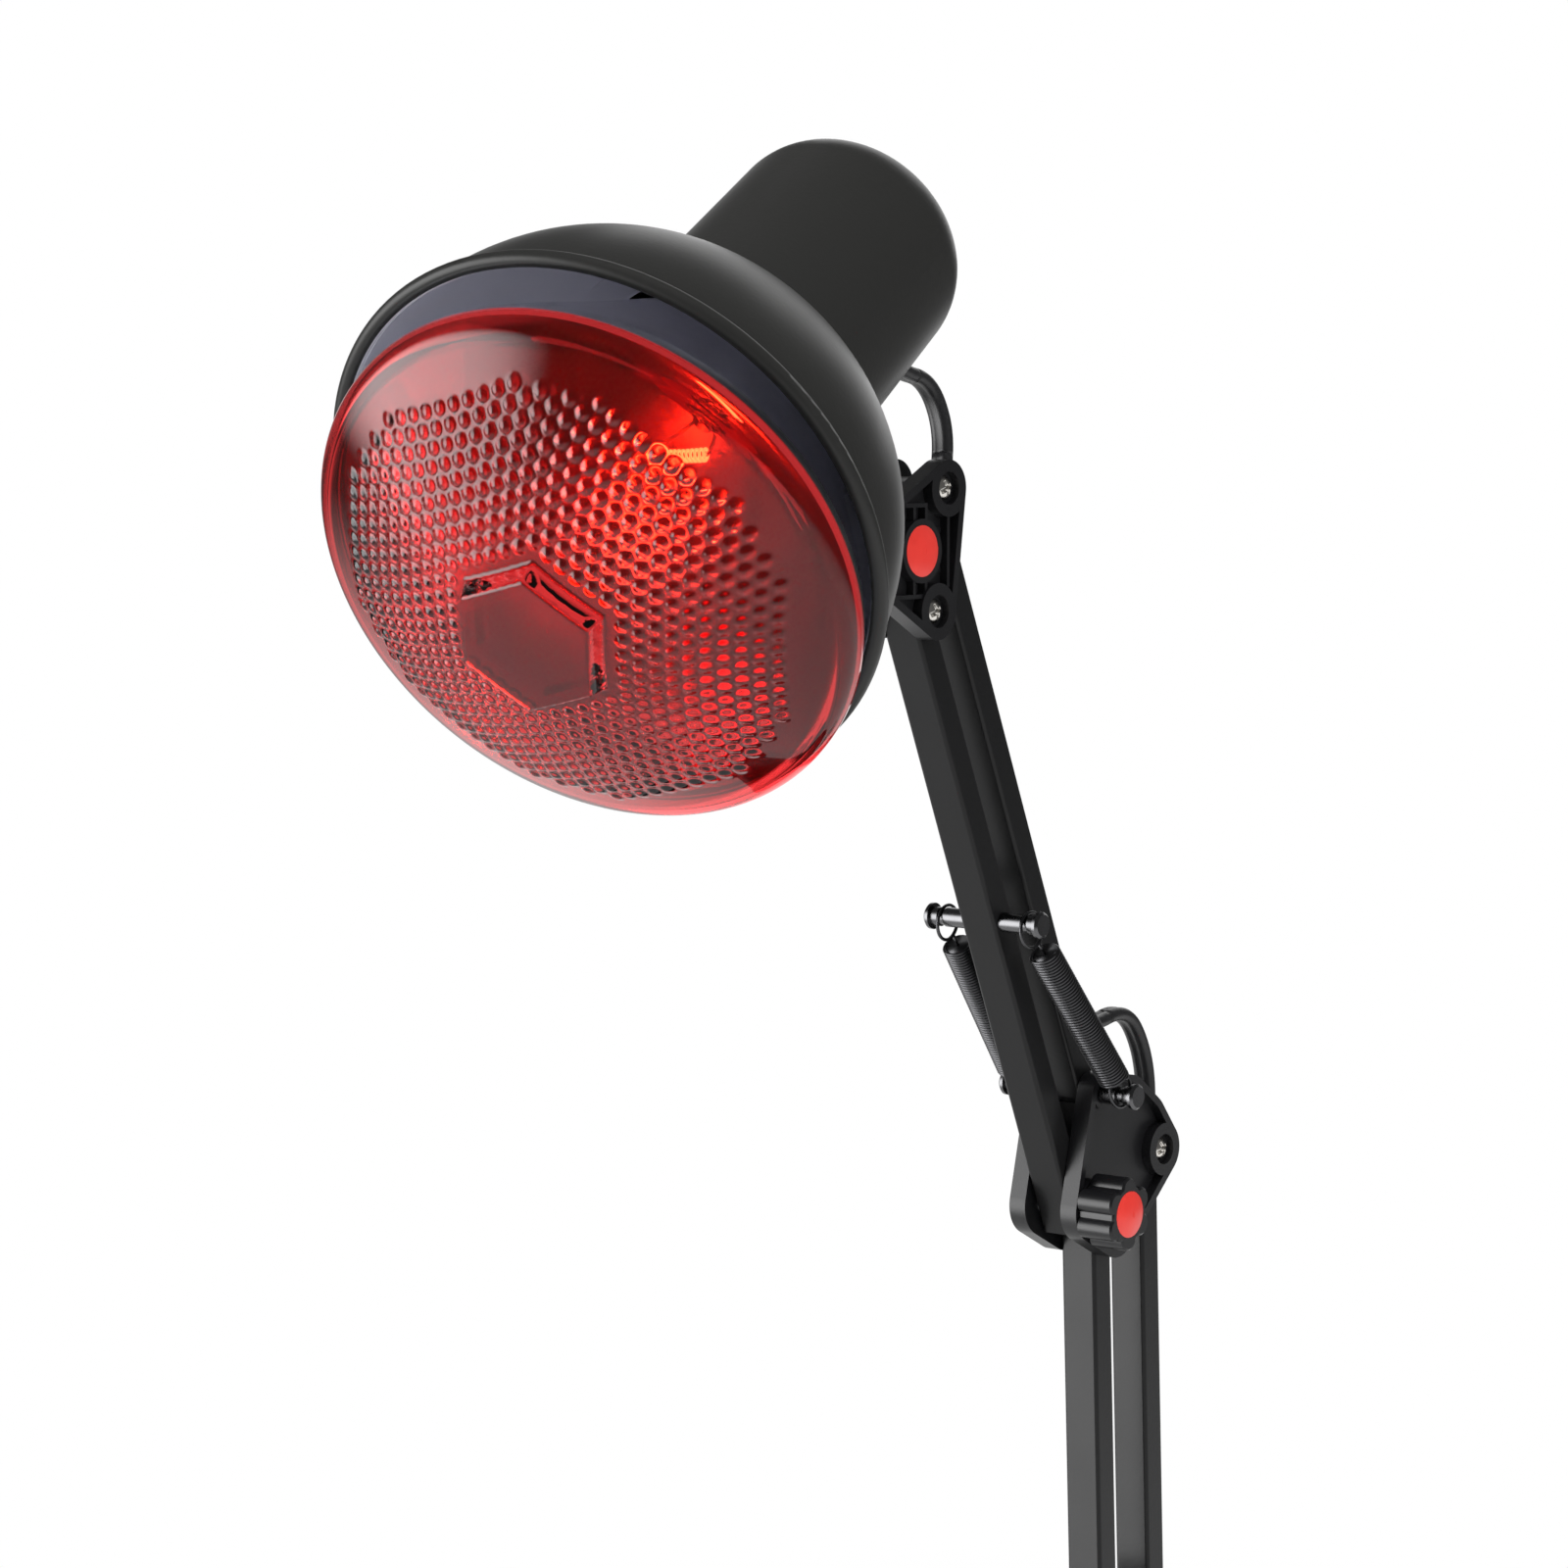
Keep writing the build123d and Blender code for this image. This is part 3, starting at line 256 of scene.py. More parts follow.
iron.set("Base Color", iron.ramp(skin, (0.3, (0.03, 0.03, 0.032)), (0.7, (0.07, 0.068, 0.066))))
iron.set("Roughness", iron.noise(90.0) * 0.2 + 0.6)
iron.bump(iron.noise(500.0, 4.0), 0.6, 0.0006)
ceramic = Finish("ceramic", Base_Color=(0.84, 0.82, 0.77), Coat_Weight=0.4)
ceramic.set("Roughness", ceramic.noise(80.0) * 0.15 + 0.25)
rubber = moulded("rubber", (0.016, 0.016, 0.016), 0.62, 0.5)
cord_pvc = moulded("cord_pvc", (0.016, 0.016, 0.017), 0.38, 0.15)
cap_red = Finish("cap_red", Coat_Weight=0.25, Subsurface_Weight=0.08)
reds = (0.3, (0.88, 0.036, 0.026)), (0.7, (0.94, 0.05, 0.036))
cap_red.set("Base Color", cap_red.ramp(cap_red.noise(150.0), *reds))
cap_red.set("Roughness", cap_red.noise(400.0) * 0.1 + 0.30)

pin_steel.dress("upper_spring_pin", "lower_spring_pin", "elbow_spring_pin", "base_spring_pin")
nickel.dress("elbow_rivet", "base_rivets")
zinc.dress("tilt_bolt", "elbow_bolt", "swivel_stud", "holder_nipple", "swivel_post")
brass.dress("bulb_cap", "holder_contacts", "plug_pins")
iron.dress("base_weight")
ceramic.dress("holder_body")
rubber.dress("foot_pad", "tilt_washers", "cord_gland", "cord_boot")
cap_red.dress("head_cap", "knob_cap", "switch_rocker")
cord_pvc.dress("cord_in_base")

# %% [markdown]
# ## Where things are
# The joints of the frame give the pivots, and its boxes give the pins; other places are given as numbers.
# Work on the shade and the bulb is easier along their own axis, so one matrix carries such a piece into
# place, and a second adds the slight lean of the bulb in its holder. Lengths inside a piece are in
# millimetres.

# %% Places and small builders
MM = Matrix.Scale(0.001, 4)


def pivot(joint):
    return Vector(joints[joint]["pos_m"])


def middle(node):
    low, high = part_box(node)
    return (Vector(low) + Vector(high)) / 2


tilt_at = pivot("head_tilt")
stud = Vector(joints["head_swivel"]["axis"]).normalized()
neck = Vector((0.0, stud.z, -stud.y))
TURN, NECK_RISE, STUD_BACK = radians(7.9), 64.3, 94.48
LEAN, LEAN_CLOCK, LEAN_AT = radians(1.7), radians(54.0), 93.98

level = Matrix((Vector((1, 0, 0)), -stud, neck)).transposed().to_4x4()
opening = tilt_at + stud * NECK_RISE * 0.001 - neck * STUD_BACK * 0.001
turn = Matrix.Translation(tilt_at) @ Matrix.Rotation(TURN, 4, stud) @ Matrix.Translation(-tilt_at)
in_shade = turn @ Matrix.Translation(opening) @ level @ MM
seat = Matrix.Translation((0, 0, LEAN_AT))
lean_axis = Vector((sin(LEAN_CLOCK), -cos(LEAN_CLOCK), 0))
in_bulb = in_shade @ seat @ Matrix.Rotation(LEAN, 4, lean_axis) @ seat.inverted()


def piece(name, bm, finish, body, place=MM):
    """Turn a bmesh into a smooth object in one finish; it rides on a body, where one is given."""
    bm.transform(place)
    mesh = bpy.data.meshes.new(name)
    bm.to_mesh(mesh)
    bm.free()
    mesh.polygons.foreach_set("use_smooth", [True] * len(mesh.polygons))
    mesh.materials.append(finish.material)
    obj = bpy.data.objects.new(name, mesh)
    bpy.context.scene.collection.objects.link(obj)
    if body:
        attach(obj, body)
    print(f"{name}: {len(mesh.polygons)} faces")
    return obj


def spun(profile, steps=96):
    """Closed body of revolution about Z from a chain of (radius, height) points."""
    bm = bmesh.new()
    verts = [bm.verts.new((r, 0, z)) for r, z in profile]
    edges = [bm.edges.new(pair) for pair in zip(verts, verts[1:])]
    bmesh.ops.spin(bm, geom=verts + edges, cent=(0, 0, 0), axis=(0, 0, 1), angle=2 * pi, steps=steps,
                   use_merge=True, dvec=(0, 0, 0))
    bmesh.ops.remove_doubles(bm, verts=bm.verts, dist=1e-4)
    bmesh.ops.recalc_face_normals(bm, faces=bm.faces)
    return bm


def smooth_step(x):
    x = min(1.0, max(0.0, x))
    return x * x * (3 - 2 * x)


def dished(radius, cells, height):
    """Disc of small square cells whose surface follows height(x, y)."""
    bm = bmesh.new()
    bmesh.ops.create_grid(bm, x_segments=cells, y_segments=cells, size=radius)
    outside = [f for f in bm.faces if f.calc_center_median().xy.length > radius]
    bmesh.ops.delete(bm, geom=outside, context="FACES")
    for v in bm.verts:
        if v.is_boundary:
            v.co.xy = v.co.xy.normalized() * radius
        v.co.z = height(v.co.x, v.co.y)
    return bm


def grow(bm, rings):
    """Extrude the open edge ring by ring to each (radius, height)."""
    edges = [e for e in bm.edges if e.is_boundary]
    for radius, height in rings:
        new = bmesh.ops.extrude_edge_only(bm, edges=edges)["geom"]
        edges = [e for e in new if isinstance(e, bmesh.types.BMEdge) and e.is_boundary]
        for v in {v for e in edges for v in e.verts}:
            v.co = (*(v.co.xy.normalized() * radius), height)
    return [v for e in edges for v in e.verts]


# %% [markdown]
# ## The shade
# The shade is black outside and pale grey inside, where it passes on the light. One paint does both:
# whatever lies nearer the bowl's centre than the middle of its wall is lining.

# %% Paint the shade
BOWL_R, BOWL_C, HALF_WALL = 61.1, 0.8, 0.6
BLACK, LINING = (0.022, 0.022, 0.021), (0.82, 0.82, 0.90)
shade_paint = satin_paint("shade_paint", 0.022, 0.36, 0.10, 0.32)
bowl_at = in_shade @ Vector((0, 0, BOWL_C))
apart = {0: shade_paint.place(), 1: bowl_at}
away = shade_paint.add("ShaderNodeVectorMath", {"operation": "DISTANCE"}, apart).num("Value")
lining = (((BOWL_R - HALF_WALL) * 0.001 - away) * 5000.0).clamp()
shade_paint.set("Base Color", shade_paint.ramp(lining, (0.3, BLACK), (0.7, LINING)))
shade_paint.dress("shade_shell", "neck_cup")

# %% [markdown]
# ## The cords
# The lead is flat twin cord: two round cores in one skin, with a groove between them. One closed curve
# gives that section, and every stretch is a smooth line through a few points that carries it. Where the
# cord bridges a joint it stands in a free loop, so that the arm can fold; that stretch is cut at the loop
# into parts that follow no body. Outside, a short lead runs to the switch, and the rest is wound
# into a neat coil behind the base.

# %% The cord's section
CORE_R, CORE_AT, CORE_POINTS = 1.7, 1.0, 10


def twin_outline():
    """Points round two cores side by side, in millimetres."""
    reach = pi - acos(CORE_AT / CORE_R)
    points = []
    for side in (0, pi):
        for k in range(CORE_POINTS):
            a = side + reach * (2 * k / CORE_POINTS - 1)
            points.append((CORE_AT * cos(side) + CORE_R * cos(a), CORE_R * sin(a)))
    return points


twin_ring = twin_outline()


def twin_section():
    """The outline as a closed curve for other curves to carry."""
    curve = bpy.data.curves.new("cord_section", "CURVE")
    curve.dimensions = "2D"
    line = curve.splines.new("POLY")
    line.points.add(len(twin_ring) - 1)
    for point, (x, y) in zip(line.points, twin_ring):
        point.co = (x, y, 0, 1)
    line.use_cyclic_u = True
    return bpy.data.objects.new("cord_section", curve)


section = twin_section()


def route(name, points):
    """Smooth open curve that corners in millimetres steer; its radius scales the section to metres."""
    curve = bpy.data.curves.new(name, "CURVE")
    curve.dimensions = "3D"
    curve.twist_mode = "Z_UP"
    curve.resolution_u = 10
    line = curve.splines.new("NURBS")
    line.points.add(len(points) - 1)
    for point, place in zip(line.points, points):
        point.co = (*(Vector(place) * 0.001), 1)
        point.radius = 0.001
    line.order_u = 3
    line.use_endpoint_u = True
    curve.bevel_mode, curve.bevel_object = "OBJECT", section
    curve.use_fill_caps = True
    obj = bpy.data.objects.new(name, curve)
    bpy.context.scene.collection.objects.link(obj)
    return obj


# %% Free lead, switch lead and coil
EXIT = (0.0, 119.0, 10.0)
SWITCH = Vector((-52.0, 250.0, 8.0))
SWITCH_HALF = 31.0
PLUG = Vector((24.0, 262.0, 7.2))
TABLE = 2.3
# The coil lies in three layers; each seat is the radius and the height of one lap.
COIL, COIL_TURNS, PER_TURN, SLIP_FROM = Vector((36.0, 190.0, 0.0)), 7, 14, 9
COIL_SEATS = [(35.4, 2.3), (30.0, 2.3), (24.6, 2.3), (24.6, 6.3), (30.0, 6.3), (35.4, 6.3), (35.4, 10.3),
              (30.0, 10.3), (30.0, 10.3)]


def length_of(obj):
    """Length of a curve's own line, in metres."""
    depth, shape = obj.data.bevel_depth, obj.data.bevel_object
    mode = obj.data.bevel_mode
    obj.data.bevel_depth, obj.data.bevel_object, obj.data.bevel_mode = 0, None, "ROUND"
    bpy.context.view_layer.update()
    line = bpy.data.meshes.new_from_object(obj.evaluated_get(bpy.context.evaluated_depsgraph_get()))
    points = [v.co for v in line.vertices]
    obj.data.bevel_mode, obj.data.bevel_object, obj.data.bevel_depth = mode, shape, depth
    return sum((b - a).length for a, b in zip(points, points[1:]))


lead = route("mains_lead", [EXIT, (0, 145, 6), (-29, 170, TABLE), (-51, 195, 4),
                            (SWITCH.x, SWITCH.y - SWITCH_HALF, SWITCH.z)])
tail_in = [(SWITCH.x, SWITCH.y + SWITCH_HALF, SWITCH.z), (-51, 307, 3.6), (-26, 331, TABLE), (10, 331, TABLE),
           (50, 304, TABLE), (66, 272, TABLE), (70, 238, 3.0)]
coil_turns = []
for k in range(COIL_TURNS * PER_TURN + PER_TURN // 2 + 1):
    lap, part = divmod(k, PER_TURN)
    slip = min(1.0, max(0.0, (part - SLIP_FROM) / (PER_TURN - SLIP_FROM)))
    (r, z), (next_r, next_z) = COIL_SEATS[lap], COIL_SEATS[lap + 1]
    r, z = r + (next_r - r) * slip, z + (next_z - z) * slip
    a = -2 * pi * k / PER_TURN
    coil_turns.append((COIL.x + r * cos(a), COIL.y + r * sin(a), z))
tail_out = [(6, 222, 7.0), (10, 240, 4.5), (PLUG.x, 252, 5.6), tuple(PLUG)]
tail = route("mains_tail", tail_in + coil_turns + tail_out)
for cord_piece in (lead, tail):
    cord_piece.data.materials.append(cord_pvc.material)
    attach(cord_piece, "base")
    print(cord_piece.name, round(length_of(cord_piece), 3), "m")

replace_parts(lead, "cord_lead")
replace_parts(tail, "cord_to_coil", "cord_coil", "cord_to_plug")
length_of(lead)
length_of(tail)

# %% [markdown]
# The stretches on the arm are swept by hand instead, because their flat side always faces front and back:
# the ring of the section is pushed along the line step by step, and keeps its width along X.

# %% Sweep the section with a fixed width direction
def centreline(points):
    """Points of the smooth line that the corners steer, in millimetres."""
    obj = route("line", points)
    obj.data.bevel_object = None
    obj.data.bevel_mode = "ROUND"
    bpy.context.view_layer.update()
    mesh = bpy.data.meshes.new_from_object(obj.evaluated_get(bpy.context.evaluated_depsgraph_get()))
    line = [v.co * 1000 for v in mesh.vertices]
    bpy.data.objects.remove(obj)
    bpy.data.meshes.remove(mesh)
    return line


def upright(place, along, across):
    """Matrix at a place, with Z along one direction and X as near to another as it can be."""
    wide = (across - along * across.dot(along)).normalized()
    return Matrix.Translation(place) @ Matrix((wide, along.cross(wide), along)).transposed().to_4x4()


def swept(points, ring, across=Vector((1, 0, 0))):
    """Closed body that a ring of points sweeps along a smooth line."""
    line = centreline(points)
    ways = [(b - a).normalized() for a, b in zip(line, line[1:])]
    ways = [ways[0]] + [(a + b).normalized() for a, b in zip(ways, ways[1:])] + [ways[-1]]
    frames = [upright(place, way, across) for place, way in zip(line, ways)]
    bm = bmesh.new()
    verts = [bm.verts.new(frames[0] @ Vector((x, y, 0))) for x, y in ring]
    edges = [bm.edges.new(pair) for pair in zip(verts, verts[1:] + verts[:1])]
    bmesh.ops.edgeloop_fill(bm, edges=edges)
    for a, b in zip(frames, frames[1:]):
        new = bmesh.ops.extrude_edge_only(bm, edges=edges)["geom"]
        fresh = [v for v in new if isinstance(v, bmesh.types.BMVert)]
        edges = [e for e in new if isinstance(e, bmesh.types.BMEdge) and all(v in fresh for v in e.verts)]
        bmesh.ops.transform(bm, matrix=b @ a.inverted(), verts=fresh)
    bmesh.ops.edgeloop_fill(bm, edges=edges)
    bmesh.ops.recalc_face_normals(bm, faces=bm.faces)
    return bm


# %% Loops along the arm
head_at, elbow_at = pivot("head_link") * 1000, pivot("upper_arm") * 1000
low_top, heel_at = pivot("elbow_link") * 1000, pivot("lower_arm") * 1000
up_lean, low_lean = (head_at - elbow_at).normalized(), (low_top - heel_at).normalized()
BAR_DEEP = 0.8


def in_bar(top, along, down):
    """Point on the cord inside a rear bar's channel, down from the bar's upper pivot."""
    return top - along * down + Vector((0, along.z, -along.y)) * BAR_DEEP


def straight(name, points, body):
    """A stretch of cord that follows one body, or none so far."""
    return piece(name, swept(points, twin_ring), cord_pvc, body)


def bridge(name, points):
    """A stretch of cord that follows no body; its shape stays where it is made."""
    stretch = straight(name, points, None)
    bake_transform(stretch)
    return stretch


up_in, up_out = in_bar(head_at, up_lean, 34), in_bar(head_at, up_lean, 122.6)
low_in, low_out = in_bar(low_top, low_lean, 30), in_bar(low_top, low_lean, 148)
gland = in_shade @ Vector((0, 27.6, 119.7))
gland_way = (in_shade.to_3x3() @ Vector((0, cos(radians(20)), sin(radians(20))))).normalized()
gland, drop = gland * 1000, in_bar(head_at, up_lean, 31)
bend, hang, dip = Vector((-4.5, -77.0, 443.0)), Vector((-2.0, -73.6, 432.0)), Vector((0, -77.4, 419.0))
rise, crest = Vector((0, -18.0, 285.5)), Vector((0, -1.5, 289.4))
fall, sink = Vector((0, 7.6, 277.5)), Vector((0, 9.6, 262.0))
belly, tuck, into = Vector((0, 20.5, 88.0)), Vector((0, 19.0, 68.0)), Vector((0, 0, 54.0))
post, below = Vector((0, 0, 44)), Vector((0, 0, 43))

# Where one stretch ends and the next begins.
out = gland + gland_way * 6
leave, dive, up_from = out.lerp(bend, 0.5), hang.lerp(dip, 0.5), drop.lerp(up_out, 0.2)
over, low_from, heel = rise.lerp(crest, 0.5), low_in.lerp(low_out, 0.1), belly.lerp(tuck, 0.5)

head_loop = bridge("cord_at_gland", [gland - gland_way * 3, out, leave])
bridge("cord_at_tilt", [leave, bend, hang, dive])
bridge("cord_at_head", [dive, dip, drop, up_from])
in_upper = straight("cord_in_upper_bar", [up_from, up_in.lerp(up_out, 0.5), up_out], "upper_rear")
elbow_loop = bridge("cord_into_elbow", [up_out, up_out.lerp(rise, 0.5), rise, over])
bridge("cord_past_elbow", [over, crest, fall, sink, low_in, low_from])
in_lower = straight("cord_in_lower_bar", [low_from, low_in.lerp(low_out, 0.5), low_out], "lower_rear")
heel_loop = bridge("cord_above_heel", [low_out, low_out.lerp(belly, 0.5), belly, heel])
bridge("cord_into_post", [heel, tuck, into, below])
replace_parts(head_loop, "cord_head_loop")
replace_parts(in_upper, "cord_upper")
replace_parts(elbow_loop, "cord_elbow_loop")
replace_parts(in_lower, "cord_lower")
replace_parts(heel_loop, "cord_base_loop")

# %% [markdown]
# ## Tension springs
# A close-wound spring is one wire whose turns touch. `spin` winds a small circle round an axis and lifts it
# by a fixed amount at each step, which is exactly such a helix. A hook at each end is the same circle spun
# once round the pin.

# %% Springs
WIRE, SPRING_R, TOP_X, FOOT_X = 0.44, 3.85, 12.1, 15.3
HOOK_WIRE, HOOK_R, HOOK_SIT = 0.42, 4.15, 1.85
BODY_FROM_TOP, BODY_FROM_FOOT, PLATE_T = 9.3, 5.6, 0.6
TURN_STEPS, WIRE_SIDES, HOOK_STEPS, HOOK_SIDES = 22, 7, 44, 8
TURN_RISE = 1.9 * WIRE
spring_steel = Finish("spring_steel", Base_Color=(0.09, 0.09, 0.094), Metallic=1.0)
spring_steel.set("Roughness", spring_steel.noise(300.0) * 0.10 + 0.32)


def wound(bm, low, high):
    """Helix of touching turns up Z from low to high."""
    turns = max(1, round((high - low) / TURN_RISE))
    rise = (high - low) / turns / TURN_STEPS
    face_on = Matrix.Translation((SPRING_R - WIRE, 0, low)) @ Matrix.Rotation(pi / 2, 4, "X")
    start = bmesh.ops.create_circle(bm, cap_ends=True, segments=WIRE_SIDES, radius=WIRE, matrix=face_on)
    rim = list({e for v in start["verts"] for e in v.link_edges})
    end = bmesh.ops.spin(bm, geom=start["verts"] + rim, cent=(0, 0, 0), axis=(0, 0, 1), dvec=(0, 0, rise),
                         angle=2 * pi * turns, steps=turns * TURN_STEPS)["geom_last"]
    bmesh.ops.edgeloop_fill(bm, edges=[e for e in end if isinstance(e, bmesh.types.BMEdge)])


def rod(bm, radius, length, middle_z, sides):
    """Closed rod on the Z axis."""
    bmesh.ops.create_cone(bm, cap_ends=True, segments=sides, radius1=radius, radius2=radius, depth=length,
                          matrix=Matrix.Translation((0, 0, middle_z)))


def hook(bm, pin_z, coil_z):
    """Ring over a pin along X, with a neck and a closing plate where the coil begins."""
    way = 1 if coil_z > pin_z else -1
    middle_z, plate_z = pin_z + way * HOOK_SIT, coil_z + way * 0.5
    first = Matrix.Translation((0, HOOK_R, middle_z))
    circle = bmesh.ops.create_circle(bm, segments=HOOK_SIDES, radius=HOOK_WIRE, matrix=first)
    rim = list({e for v in circle["verts"] for e in v.link_edges})
    bmesh.ops.spin(bm, geom=circle["verts"] + rim, cent=(0, 0, middle_z), axis=(1, 0, 0), angle=2 * pi,
                   steps=HOOK_STEPS, use_merge=True)
    low, high = sorted((middle_z + way * HOOK_R, plate_z))
    if abs(coil_z - middle_z) > HOOK_R:
        rod(bm, HOOK_WIRE, high - low, (low + high) / 2, HOOK_SIDES)
    rod(bm, SPRING_R - WIRE, PLATE_T, plate_z, 24)


def spring(name, top, foot, side, bodies):
    """Wound spring from one cross pin to another, on one side of the arm."""
    start, end = top + Vector((side * TOP_X, 0, 0)), foot + Vector((side * FOOT_X, 0, 0))
    span, along = (end - start).length, (end - start).normalized()
    bm = bmesh.new()
    wound(bm, BODY_FROM_TOP, span - BODY_FROM_FOOT)
    hook(bm, 0, BODY_FROM_TOP)
    hook(bm, span, span - BODY_FROM_FOOT)
    bmesh.ops.remove_doubles(bm, verts=bm.verts, dist=1e-5)
    bmesh.ops.recalc_face_normals(bm, faces=bm.faces)
    coil = piece(name, bm, spring_steel, None, MM @ upright(start, along, Vector((1, 0, 0))))
    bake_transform(coil)
    return coil


upper_pins = middle("upper_spring_pin") * 1000, middle("elbow_spring_pin") * 1000
lower_pins = middle("lower_spring_pin") * 1000, middle("base_spring_pin") * 1000
for side, word in ((1, "near"), (-1, "far")):
    upper = spring(f"spring_upper_{word}", *upper_pins, side, ("upper_front", "elbow"))
    lower = spring(f"spring_lower_{word}", *lower_pins, side, ("lower_front", "turret"))
    if side > 0:
        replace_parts(upper, "upper_springs")
        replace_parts(lower, "lower_springs")

# %% [markdown]
# ## Cross-head screws
# Three screws hold the brackets' halves. Each head is a low dome with a cross pressed into it; the same
# sheet of cells that makes the glass makes the head, and rings grown from its edge make the shank.

# %% Screws
HEAD_R, HEAD_H, SHANK_R = 2.9, 1.5, 2.2
CROSS_W, CROSS_L, CROSS_DEEP, CROSS_EDGE, CROSS_TURN = 0.42, 1.75, 0.8, 0.25, radians(25)
HEAD_BALL = (HEAD_R**2 + HEAD_H**2) / (2 * HEAD_H)
BOLT_BETWEEN = Vector((0, 3.8, 27.9))
turned = Matrix(((0, 0, 1, 0), (1, 0, 0, 0), (0, 1, 0, 0), (0, 0, 0, 1)))


def screw_top(x, y):
    """Height of a domed head with a cross in it."""
    u = abs(x * cos(CROSS_TURN) + y * sin(CROSS_TURN))
    v = abs(y * cos(CROSS_TURN) - x * sin(CROSS_TURN))
    inside = max(min(CROSS_W - u, CROSS_L - v), min(CROSS_W - v, CROSS_L - u))
    top = sqrt(HEAD_BALL**2 - min(HEAD_R, hypot(x, y)) ** 2) - HEAD_BALL + HEAD_H
    return top - CROSS_DEEP * smooth_step(inside / CROSS_EDGE + 0.4)


def screw(name, at, node, body):
    """A screw along X through one place, as long as the CAD node that it replaces."""
    far, near = (corner[0] * 1000 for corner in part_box(node))
    bm = dished(HEAD_R, 46, screw_top)
    length = near - HEAD_H - far
    end = grow(bm, [(HEAD_R, -0.1), (SHANK_R, -0.1), (SHANK_R, -length), (SHANK_R / 2, -length)])
    bmesh.ops.pointmerge(bm, verts=list(set(end)), merge_co=(0, 0, -length))
    bmesh.ops.recalc_face_normals(bm, faces=bm.faces)
    return piece(name, bm, nickel, body, MM @ Matrix.Translation((near - HEAD_H, at.y, at.z)) @ turned)


rear_screw = screw("screw_head_rear", head_at, "head_screws", "head")
screw("screw_head_front", head_at - BOLT_BETWEEN, "head_screws", "head")
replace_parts(rear_screw, "head_screws")
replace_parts(screw("screw_elbow", low_top, "elbow_screw", "elbow"), "elbow_screw")

# %% [markdown]
# ## The glass front
# Pressed red glass, stippled with a triangular lattice of small round bumps that spread the heat, round a
# raised bevelled hexagon. One fine sheet of cells takes all of it as height: the dome, the bumps and the
# hexagon are each a term of one formula. Rings grown from its edge make the plain shoulder, the rim and the
# smooth inside.

# %% Stippled lens
BULB_R, RIM_AT, GLASS = 60.3, -14.5, 2.6
SEAM = RIM_AT + 3.2
DOME_AT, BALL, SLOPE, ROUND, WALL = -38.4, 88.5, radians(32), 6.0, 4.2
HEX_R, HEX_AT, HEX_CLOCK, HEX_HOLLOW, HEX_WALL = 18.0, -42.2, radians(-9.8), 0.0025, 1.8
PITCH, BUMP_R, BUMP_H, BUMPS_TO, HEX_CLEAR = 3.65, 1.6, 0.75, 50.5, 1.6
SHEET_R, SHEET_CELLS = 56.0, 270


def dome(r, wall=0.0):
    """Height of the glass: part of a ball, then a straight slope. A wall makes it the inside."""
    ball = BALL - wall
    on_ball = min(r, ball * sin(SLOPE))
    return DOME_AT + BALL - sqrt(ball * ball - on_ball * on_ball) + (r - on_ball) * tan(SLOPE)


def hex_reach(x, y):
    """Distance inside a pointed hexagon's sides, negative outside."""
    a = (atan2(y, x) - HEX_CLOCK) % (pi / 3) - pi / 6
    return HEX_R * cos(pi / 6) - hypot(x, y) * cos(a)


def nearest_bump(x, y):
    """Distance to the nearest point of the triangular lattice, and that point's radius."""
    u, v = x * cos(HEX_CLOCK) + y * sin(HEX_CLOCK), y * cos(HEX_CLOCK) - x * sin(HEX_CLOCK)
    row = v / (PITCH * sqrt(3) / 2)
    best = (9.0, 0.0, 0.0)
    for j in (int(row // 1), int(row // 1) + 1):
        shift = 0.5 * (j % 2)
        i = round(u / PITCH - shift)
        bx, by = (i + shift) * PITCH, j * PITCH * sqrt(3) / 2
        best = min(best, (hypot(u - bx, v - by), bx, by))
    away, bx, by = best
    c, s = cos(HEX_CLOCK), sin(HEX_CLOCK)
    return away, bx * c - by * s, bx * s + by * c


def lens_height(x, y):
    """Height of the dome with its bumps and hexagon."""
    r = hypot(x, y)
    height = dome(r)
    inside = hex_reach(x, y)
    if inside > -0.2:
        flat = HEX_AT + HEX_HOLLOW * r * r
        return height + (flat - height) * smooth_step(inside / HEX_WALL)
    away, bx, by = nearest_bump(x, y)
    if away < BUMP_R and hypot(bx, by) < BUMPS_TO and hex_reach(bx, by) < -HEX_CLEAR:
        height -= BUMP_H * (1 - (away / BUMP_R) ** 2) ** 1.2
    return height


lens_bm = dished(SHEET_R, SHEET_CELLS, lens_height)
round_r = BULB_R - ROUND
round_z = dome(round_r + ROUND * sin(SLOPE)) + ROUND * cos(SLOPE)
turns = [SLOPE + (pi / 2 - SLOPE) * k / 7 for k in range(8)]
shoulder = [(round_r + ROUND * sin(a), round_z - ROUND * cos(a)) for a in turns]
back = [(BULB_R, SEAM - 0.4), (BULB_R - 0.4, SEAM), (BULB_R - WALL, SEAM)]
inner_radii = (BULB_R - WALL, 54.2, 52.0, 49.0, 45.0, 40.0, 34.0, 28.0, 22.0, 16.0, 10.0, 5.0, 2.0)
inside = [(r, dome(r, GLASS) + 0.2) for r in inner_radii]
pole = grow(lens_bm, shoulder + back + inside)
bmesh.ops.pointmerge(lens_bm, verts=list(set(pole)), merge_co=(0, 0, dome(0, GLASS) + 0.2))
bmesh.ops.recalc_face_normals(lens_bm, faces=lens_bm.faces)

red_glass = Finish("red_glass", Transmission_Weight=1.0, IOR=1.47, Coat_Weight=0.0)
red_glass.set("Base Color", (0.70, 0.030, 0.032))
red_glass.set("Roughness", red_glass.noise(40.0) * 0.02 + 0.01)
lens = piece("lens_stippled", lens_bm, red_glass, "lamp", in_bulb)
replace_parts(lens, "bulb_lens")

